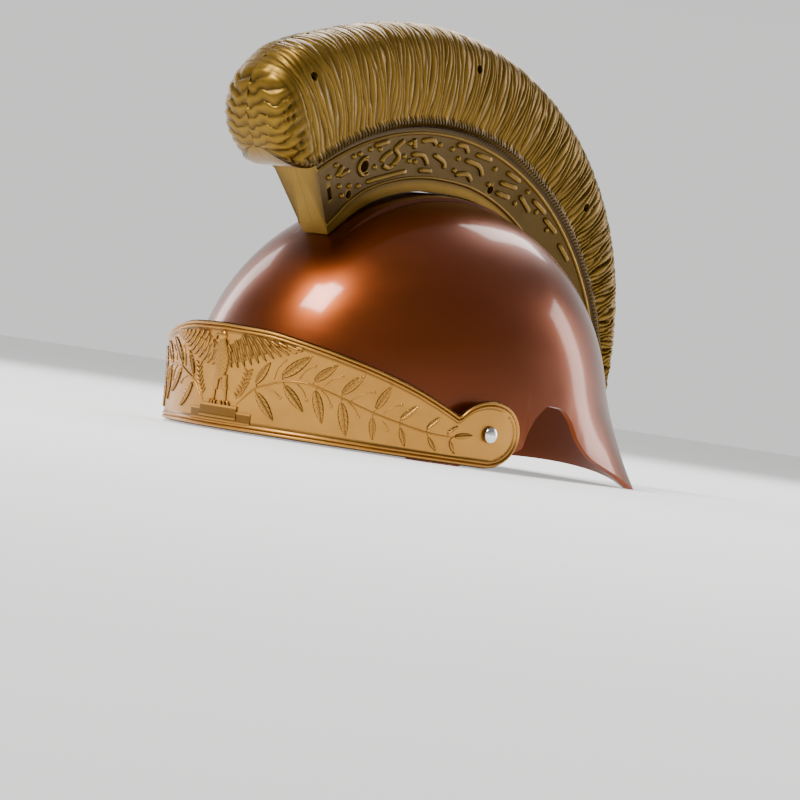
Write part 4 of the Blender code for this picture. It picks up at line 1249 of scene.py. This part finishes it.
def crest_table(size, side):
    """Points of one half of the crest: a list of sections, each a closed list of (point, shade)."""
    centre = rope_radius(size) + HEAD_CENTRE_SHARE * size.brush_height
    low = foot_radius(size, POST_TURN)
    post = crest_rows(size, POST_TURN, low, True)
    sections = []
    for i in range(HEAD_STATIONS):
        u = HEAD_REACH * math.cos(math.pi / 2 * i / HEAD_STATIONS)
        turn = POST_TURN + (HEAD_TURN - POST_TURN) * u
        share = (1 - (u / HEAD_REACH) ** HEAD_POWER) ** (1 / HEAD_POWER)
        wide = (1 - (u / HEAD_REACH) ** HEAD_WIDTH_POWER) ** (1 / HEAD_WIDTH_POWER)
        shrunk = [(x * wide, centre + (r - centre) * share, part, s) for x, r, part, s in post]
        cut = cut_rows(size, turn, shrunk, side, ease(u / 0.45) if i else 1.0)
        sections.append((turn, cut))
    sections.append((POST_TURN, cut_rows(size, POST_TURN, post, side, 0.0)))
    for turn in spread(POST_TURN, TAIL_TURN, CREST_STEP):
        rows = crest_rows(size, turn, foot_radius(size, turn), False)
        sections.append((turn, cut_rows(size, turn, rows, side, 0.0)))
    last = crest_rows(size, TAIL_TURN, foot_radius(size, TAIL_TURN), False)
    middle = (rope_radius(size) + last[-1][1]) / 2
    for i in range(1, TAIL_STATIONS + 1):
        u = math.sin(math.pi / 2 * i / TAIL_STATIONS)
        share = math.sqrt(max(0.0, 1 - u * u))
        turn = TAIL_TURN + TAIL_LENGTH * TAIL_REACH * u
        shrunk = [(x * share, middle + (r - middle) * share, part, s) for x, r, part, s in last]
        cut = cut_rows(size, turn, shrunk, side, 0.0)
        # Painted shade at the closed tip of the tail
        sections.append((turn, cut if i < TAIL_STATIONS else [(0.0, middle, 0.5)] * len(cut)))
    table = []
    for turn, rows in sections:
        ring = []
        for x, radius, shade in rows:
            point = crest_point(turn, radius, side * max(x, SEAM_GAP / 2))
            ring.append((point, shade))
        table.append(ring + ring[:1])
    return table


def hole_radius(size, turn, part, share):
    """Radius at a share of the height of the brush, or of the band under it."""
    if part == "brush":
        return rope_radius(size) + share * mix(CREST, "outer", turn) * size.brush_height
    low = foot_radius(size, turn)
    return low + share * (rope_radius(size) - BAND_TOP_DROP - low)


def build_hole_cutters(size):
    """Pins and a bar that cut the holes and the slot through the crest."""
    long_way = 3 * size.brush_half_width
    parts = []
    for hole in HOLES:
        centre = crest_point(hole.turn, hole_radius(size, hole.turn, hole.part, hole.share))
        deselect()
        bpy.ops.mesh.primitive_cylinder_add(
            vertices=40,
            radius=hole.radius,
            depth=long_way,
            location=centre,
            rotation=(0.0, math.pi / 2, 0.0),
        )
        bpy.ops.object.transform_apply(location=True, rotation=True, scale=True)
        parts.append(bpy.context.object)
    deselect()
    centre = crest_point(SLOT_TURN, hole_radius(size, SLOT_TURN, "band", SLOT_SHARE))
    bpy.ops.mesh.primitive_cube_add(
        size=1.0,
        location=centre,
        rotation=(-math.radians(SLOT_TURN), 0.0, 0.0),
        scale=(long_way, SLOT_WIDTH, SLOT_HEIGHT),
    )
    bpy.ops.object.transform_apply(location=True, rotation=True, scale=True)
    parts.append(bpy.context.object)
    return join("hole_cutters", parts)


def build_crest_half(size, name, side, cutters):
    """One moulded half of the crest, with its ribs, rope, band and holes."""
    table = crest_table(size, side)
    half = grid_piece(name, range(len(table)), range(len(table[0])), lambda i, j: table[i][j])
    close_up(half, 0.00002)
    modifier = half.modifiers.new("holes", "BOOLEAN")
    modifier.operation = "DIFFERENCE"
    modifier.object = cutters
    modifier.solver = "EXACT"
    apply_modifiers(half)
    return half


def build_band_relief(size, name, side):
    """The cast scrolls, bars and beads on one side of the crest's band."""

    def surface(turn, radius, lift):
        low = foot_radius(size, turn)
        x = band_width(size, low, radius / 1000, turn) + lift / 1000
        return crest_point(turn, radius / 1000, side * x)

    parts = [bead_piece(surface, bead, BEAD_HALF_MM, 1.05) for bead in BEADS]
    for stroke in STROKES:
        parts.append(bar_piece(surface, stroke, STROKE_HALF_MM, 1.0))
    ring = []
    for i in range(13):
        angle = math.radians(50 + 260 * i / 12)
        turn = EYE_TURN + math.degrees(EYE_RING_MM * math.cos(angle) / EYE_RADIUS_MM)
        ring.append((turn, EYE_RADIUS_MM + EYE_RING_MM * math.sin(angle)))
    parts.append(bar_piece(surface, ring, 0.62 * STROKE_HALF_MM, 1.0, steps=2))
    return join(name, parts)


def noise(nodes, links, place, scale, detail, stretch=(1.0, 1.0, 1.0)):
    """A noise pattern on the object's own coordinates."""
    mapping = nodes.new("ShaderNodeMapping")
    mapping.inputs["Scale"].default_value = stretch
    links.new(place.outputs["Object"], mapping.inputs["Vector"])
    made = nodes.new("ShaderNodeTexNoise")
    made.inputs["Scale"].default_value = scale
    made.inputs["Detail"].default_value = detail
    links.new(mapping.outputs["Vector"], made.inputs["Vector"])
    return made.outputs["Fac"]


def remap(nodes, links, source, low, high, to_low, to_high):
    """Map one range of a pattern onto another."""
    made = nodes.new("ShaderNodeMapRange")
    for name, value in (("From Min", low), ("From Max", high), ("To Min", to_low), ("To Max", to_high)):
        made.inputs[name].default_value = value
    links.new(source, made.inputs["Value"])
    return made.outputs["Result"]


def blend_colours(nodes, links, factor, first, second):
    """Mix two colours, each a socket or a plain colour."""
    made = nodes.new("ShaderNodeMix")
    made.data_type = "RGBA"
    links.new(factor, made.inputs[0])
    for number, colour in ((6, first), (7, second)):
        if isinstance(colour, tuple):
            made.inputs[number].default_value = (*colour, 1.0)
        else:
            links.new(colour, made.inputs[number])
    return made.outputs[2]


Look = namedtuple(
    "Look", "metallic rough rough_swing coat coat_rough cloud grain grain_depth recess worn wear"
)
# recess: colour share of the painted shade in hollows, creases and undersides (on the visor and crest also
# their brown antique wash); worn: lightness of the worn specks
CROWN_LOOK = Look(0.85, 0.30, 0.10, 0.45, 0.10, 9.0, 900.0, 0.004, 0.30, 1.25, 0.02)
VISOR_LOOK = Look(0.92, 0.33, 0.14, 0.0, 0.2, 26.0, 1700.0, 0.035, 0.05, 1.20, 1.0)
CREST_LOOK = Look(0.80, 0.36, 0.16, 0.0, 0.2, 24.0, 1500.0, 0.040, 0.10, 1.35, 1.0)
RIVET_LOOK = Look(1.00, 0.14, 0.10, 0.0, 0.2, 160.0, 3000.0, 0.010, 0.45, 1.10, 0.6)

# Fineness of a finish's other patterns as multiples of its clouds, and heights of its bumps
SPECK_FINENESS = 16
SCUFF_FINENESS = 9
SWING_FINENESS = 3
RIPPLE_FINENESS = 6
GRAIN_HEIGHT = 0.0002
RIPPLE_HEIGHT = 0.0006


def times(colour, factor, red=1.0):
    """A colour made lighter or darker, and its red once more."""
    return (min(1.0, colour[0] * factor * red), min(1.0, colour[1] * factor), min(1.0, colour[2] * factor))


def make_finish(name, colour, look):
    """A painted plastic finish with clouded colour, fine grain, lighter worn specks and darker scuffs,
    darkened by the shade attribute: painted shade in hollows, creases and under raised parts, on the
    antiqued gold together with its brown wash.
    """
    made = bpy.data.materials.new(name)
    made.use_nodes = True
    nodes = made.node_tree.nodes
    links = made.node_tree.links
    shader = nodes["Principled BSDF"]
    place = nodes.new("ShaderNodeTexCoord")
    shade = nodes.new("ShaderNodeAttribute")
    shade.attribute_name = "shade"
    colour = tuple(colour)
    cloud = noise(nodes, links, place, look.cloud, 4.0)
    clouded = remap(nodes, links, cloud, 0.22, 0.80, 0.0, 1.0)
    paint = blend_colours(nodes, links, clouded, times(colour, 0.84, 1.04), times(colour, 1.08))
    speck = noise(nodes, links, place, look.cloud * SPECK_FINENESS, 3.0)
    specks = remap(nodes, links, speck, 0.60, 0.85, 0.0, 0.45 * look.wear)
    paint = blend_colours(nodes, links, specks, paint, times(colour, look.worn))
    scuff = noise(nodes, links, place, look.cloud * SCUFF_FINENESS, 2.0, (1.0, 1.0, 7.0))
    scuffs = remap(nodes, links, scuff, 0.64, 0.90, 0.0, 0.40 * look.wear)
    paint = blend_colours(nodes, links, scuffs, paint, times(colour, 0.6, 1.1))
    # Painted shade: the shade attribute darkens hollows, creases and undersides towards the recess colour;
    # on the gold ornament it also stands for the brown antique wash
    paint = blend_colours(nodes, links, shade.outputs["Fac"], paint, times(colour, look.recess, 1.15))
    links.new(paint, shader.inputs["Base Color"])
    swing = noise(nodes, links, place, look.cloud * SWING_FINENESS, 3.0, (1.0, 1.0, 2.0))
    smooth = look.rough - look.rough_swing / 2
    rough = remap(nodes, links, swing, 0.18, 0.86, smooth, look.rough + look.rough_swing)
    links.new(rough, shader.inputs["Roughness"])
    shader.inputs["Metallic"].default_value = look.metallic
    shader.inputs["Coat Weight"].default_value = look.coat
    shader.inputs["Coat Roughness"].default_value = look.coat_rough
    grain = noise(nodes, links, place, look.grain, 3.0)
    fine = nodes.new("ShaderNodeBump")
    fine.inputs["Strength"].default_value = look.grain_depth * 4
    fine.inputs["Distance"].default_value = GRAIN_HEIGHT
    links.new(grain, fine.inputs["Height"])
    ripple = noise(nodes, links, place, look.cloud * RIPPLE_FINENESS, 2.0)
    soft = nodes.new("ShaderNodeBump")
    soft.inputs["Strength"].default_value = 0.03 + 0.07 * look.wear
    soft.inputs["Distance"].default_value = RIPPLE_HEIGHT
    links.new(ripple, soft.inputs["Height"])
    links.new(fine.outputs["Normal"], soft.inputs["Normal"])
    links.new(soft.outputs["Normal"], shader.inputs["Normal"])
    return made


class CrownOperator(bpy.types.Operator):
    """Build the crown's shell, the ridge on top of it and the bosses behind the visor's discs"""

    bl_idname = "helmet.crown"
    bl_label = "Crown"

    def execute(self, context):
        size = context.scene.helmet_sizes
        colour = context.scene.helmet_finish.crown_colour
        paint = make_finish("copper lacquer", colour, CROWN_LOOK)
        # Painted highlight: the crown's cut edge is made 2.4 times lighter than the lacquer to show its
        # glint
        edge = make_finish("copper cut edge with painted glint", times(tuple(colour), 2.4), CROWN_LOOK)
        shell = build_shell(size)
        shell.data.materials.append(paint)
        shell.data.materials.append(edge)
        thicken(shell, size.crown_wall)
        for vert in shell.data.vertices:
            vert.co.z = max(vert.co.z, 0.0)
        hand_over(shell, "helmet", (), 35.0)
        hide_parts("crown")
        hand_over(build_ridge(size), "helmet", (paint,), 30.0)
        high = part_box("rivet_left")[1]
        inner = crown_reach(size, HINGE_Y) - size.crown_wall / 2
        outer = high.x - RIVET_DOME - size.visor_wall - BOSS_ROOM
        bosses = []
        for side in (-1, 1):
            # Painted shade where the boss meets the crown's wall and in the middle of its face under the
            # rivet
            rows = [(side * inner, 0.0, 0.0), (side * inner, BOSS_RADIUS, 0.3)]
            rows.append((side * (outer - BOSS_CHAMFER), BOSS_RADIUS, 0.0))
            rows.append((side * outer, BOSS_RADIUS - BOSS_CHAMFER, 0.0))
            rows.append((side * outer, 0.0, 0.5))
            bosses.append(turned_piece("boss", rows, 48, (HINGE_Y, HINGE_HEIGHT)))
        hand_over(join("crown_bosses", bosses), "helmet", (paint,))
        return {"FINISHED"}


class VisorOperator(bpy.types.Operator):
    """Build the visor's band with its discs and raised edges"""

    bl_idname = "helmet.visor"
    bl_label = "Visor"

    def execute(self, context):
        size = context.scene.helmet_sizes
        paint = make_finish("gold paint", context.scene.helmet_finish.visor_colour, VISOR_LOOK)
        visor = build_visor_shell(size)
        # The second slot is for the rim of the wall
        visor.data.materials.append(paint)
        visor.data.materials.append(paint)
        thicken(visor, size.visor_wall)
        hand_over(visor, "visor", (), 50.0)
        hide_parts("visor")
        return {"FINISHED"}


class LaurelOperator(bpy.types.Operator):
    """Build the laurel branches and the eagle on the visor"""

    bl_idname = "helmet.laurel"
    bl_label = "Laurel and eagle"

    def execute(self, context):
        size = context.scene.helmet_sizes
        paint = bpy.data.materials["gold paint"]
        hand_over(build_laurel(size), "visor", (paint,), 60.0)
        hand_over(build_eagle(size), "visor", (paint,), 60.0)
        return {"FINISHED"}


class RivetsOperator(bpy.types.Operator):
    """Build the two chrome rivets that the visor turns on"""

    bl_idname = "helmet.rivets"
    bl_label = "Rivets"

    def execute(self, context):
        chrome = make_finish("chrome", context.scene.helmet_finish.rivet_colour, RIVET_LOOK)
        for name, side in (("rivet_left", 1), ("rivet_right", -1)):
            low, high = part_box(name)
            reach = max(abs(low.x), abs(high.x))
            tail = min(abs(low.x), abs(high.x))
            wide = (high.z - low.z) / 2
            rows = [(side * reach, 0.0, 0.0)]
            for i in range(1, 17):
                angle = math.pi / 2 * i / 16
                x = reach - RIVET_DOME * (1 - math.cos(angle))
                rows.append((side * x, wide * math.sin(angle), 0.0))
            under = reach - RIVET_UNDERSIDE
            foot = tail + RIVET_FOOT
            # Painted shade under the rivet's dome and round its shank
            rows.append((side * under, wide * 0.96, 0.8))
            for x, radius in ((under, 0.5), (foot, 0.5), (foot, 0.78)):
                rows.append((side * x, wide * radius, 0.3))
            rows += [(side * (tail + 0.0002), wide * 0.8, 0.0), (side * tail, wide * 0.72, 0.0)]
            rows.append((side * tail, 0.0, 0.0))
            rivet = turned_piece(name + "_dome", rows, 64, (HINGE_Y, HINGE_HEIGHT))
            hand_over(rivet, "helmet", (chrome,), 40.0)
            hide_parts(name)
        return {"FINISHED"}


class CrestOperator(bpy.types.Operator):
    """Build the two halves of the crest with the cast relief on their bands"""

    bl_idname = "helmet.crest"
    bl_label = "Crest"

    def execute(self, context):
        size = context.scene.helmet_sizes
        paint = make_finish("antique gold", context.scene.helmet_finish.crest_colour, CREST_LOOK)
        cutters = build_hole_cutters(size)
        for name, side in (("crest_left", 1), ("crest_right", -1)):
            half = build_crest_half(size, name + "_half", side, cutters)
            hand_over(half, "helmet", (paint,), 38.0)
            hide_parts(name)
            relief = build_band_relief(size, name + "_relief", side)
            hand_over(relief, "helmet", (paint,), 60.0)
        bpy.data.objects.remove(cutters)
        return {"FINISHED"}


def aim(made, target, roll=0.0):
    """Turn a light or the camera to look at a point."""
    way = Vector(target) - made.location
    look = way.to_track_quat("-Z", "Y").to_matrix().to_4x4()
    made.matrix_world = Matrix.Translation(made.location) @ look @ Matrix.Rotation(roll, 4, "Z")


def around(turn, rise, distance):
    """A point at a turn and a rise from the helmet's middle, as the camera's is given."""
    a = math.radians(turn)
    e = math.radians(rise)
    way = Vector((math.sin(a) * math.cos(e), -math.cos(a) * math.cos(e), math.sin(e)))
    return Vector(CAMERA_AIM) + way * distance


Lamp = namedtuple("Lamp", "name turn rise distance width height power")
LAMPS = (
    Lamp("key", -4.0, 52.0, 1.6, 0.45, 0.45, 36.0),
    Lamp("top", 214.0, 42.0, 1.8, 1.2, 0.8, 26.0),
    Lamp("side", 160.0, 14.0, 1.8, 0.4, 1.2, 12.0),
    Lamp("far side", -95.0, 16.0, 1.8, 0.4, 1.2, 10.0),
)


class StageOperator(bpy.types.Operator):
    """Lay the pale floor, hang the soft lamps and set up the camera"""

    bl_idname = "helmet.stage"
    bl_label = "Stage"

    def execute(self, context):
        scene = context.scene
        colour = tuple(scene.helmet_finish.floor_colour)
        deselect()
        bpy.ops.mesh.primitive_circle_add(vertices=96, radius=FLOOR_RADIUS, fill_type="NGON")
        floor = bpy.context.object
        floor.name = "floor"
        made = bpy.data.materials.new("pale floor")
        made.use_nodes = True
        shader = made.node_tree.nodes["Principled BSDF"]
        shader.inputs["Base Color"].default_value = (*colour, 1.0)
        shader.inputs["Roughness"].default_value = 0.85
        shader.inputs["Emission Color"].default_value = (*colour, 1.0)
        shader.inputs["Emission Strength"].default_value = FLOOR_GLOW
        floor.data.materials.append(made)
        world = bpy.data.worlds.new("pale studio")
        scene.world = world
        world.use_nodes = True
        background = world.node_tree.nodes["Background"]
        background.inputs["Color"].default_value = (*colour, 1.0)
        nodes = world.node_tree.nodes
        links = world.node_tree.links
        way = nodes.new("ShaderNodeTexCoord")
        split = nodes.new("ShaderNodeSeparateXYZ")
        links.new(way.outputs["Generated"], split.inputs["Vector"])
        strength = remap(nodes, links, split.outputs["Z"], *STUDIO_HEIGHTS, *STUDIO_STRENGTHS)
        links.new(strength, background.inputs["Strength"])
        for lamp in LAMPS:
            light = bpy.data.lights.new(lamp.name, "AREA")
            light.shape = "RECTANGLE"
            light.size = lamp.width
            light.size_y = lamp.height
            light.energy = lamp.power
            holder = bpy.data.objects.new(lamp.name, light)
            scene.collection.objects.link(holder)
            holder.location = around(lamp.turn, lamp.rise, lamp.distance)
            aim(holder, CAMERA_AIM)
        camera = bpy.data.objects.new("camera", bpy.data.cameras.new("camera"))
        scene.collection.objects.link(camera)
        camera.location = around(CAMERA_TURN, CAMERA_RISE, CAMERA_DISTANCE)
        aim(camera, CAMERA_AIM, math.radians(CAMERA_ROLL))
        camera.data.sensor_width = SENSOR_MM
        camera.data.lens = PIXELS_PER_MM * CAMERA_DISTANCE * 1000 * SENSOR_MM / PICTURE
        camera.data.shift_x = (PICTURE / 2 - AIM_ACROSS) / PICTURE
        camera.data.shift_y = (AIM_DOWN - PICTURE / 2) / PICTURE
        camera.data.clip_start = 0.05
        camera.data.clip_end = 60.0
        scene.camera = camera
        return {"FINISHED"}


OPERATORS = (
    CrownOperator,
    VisorOperator,
    LaurelOperator,
    RivetsOperator,
    CrestOperator,
    StageOperator,
)


class HelmetPanel(bpy.types.Panel):
    """Sizes, colours and building steps of the helmet"""

    bl_idname = "VIEW3D_PT_helmet"
    bl_label = "Gladiator helmet"
    bl_space_type = "VIEW_3D"
    bl_region_type = "UI"
    bl_category = "Helmet"

    def draw(self, context):
        for group in (context.scene.helmet_sizes, context.scene.helmet_finish):
            box = self.layout.box()
            for name in group.bl_rna.properties.keys():
                if name not in ("rna_type", "name"):
                    box.prop(group, name)
        for step in OPERATORS:
            self.layout.operator(step.bl_idname)


CLASSES = (HelmetSizes, HelmetFinish, *OPERATORS, HelmetPanel)


def register():
    for made in CLASSES:
        bpy.utils.register_class(made)
    bpy.types.Scene.helmet_sizes = bpy.props.PointerProperty(type=HelmetSizes)
    bpy.types.Scene.helmet_finish = bpy.props.PointerProperty(type=HelmetFinish)


def unregister():
    del bpy.types.Scene.helmet_finish
    del bpy.types.Scene.helmet_sizes
    for made in reversed(CLASSES):
        bpy.utils.unregister_class(made)


def main():
    register()
    bpy.ops.helmet.crown()
    bpy.ops.helmet.visor()
    bpy.ops.helmet.laurel()
    bpy.ops.helmet.rivets()
    bpy.ops.helmet.crest()
    bpy.ops.helmet.stage()


if __name__ == "__main__":
    main()
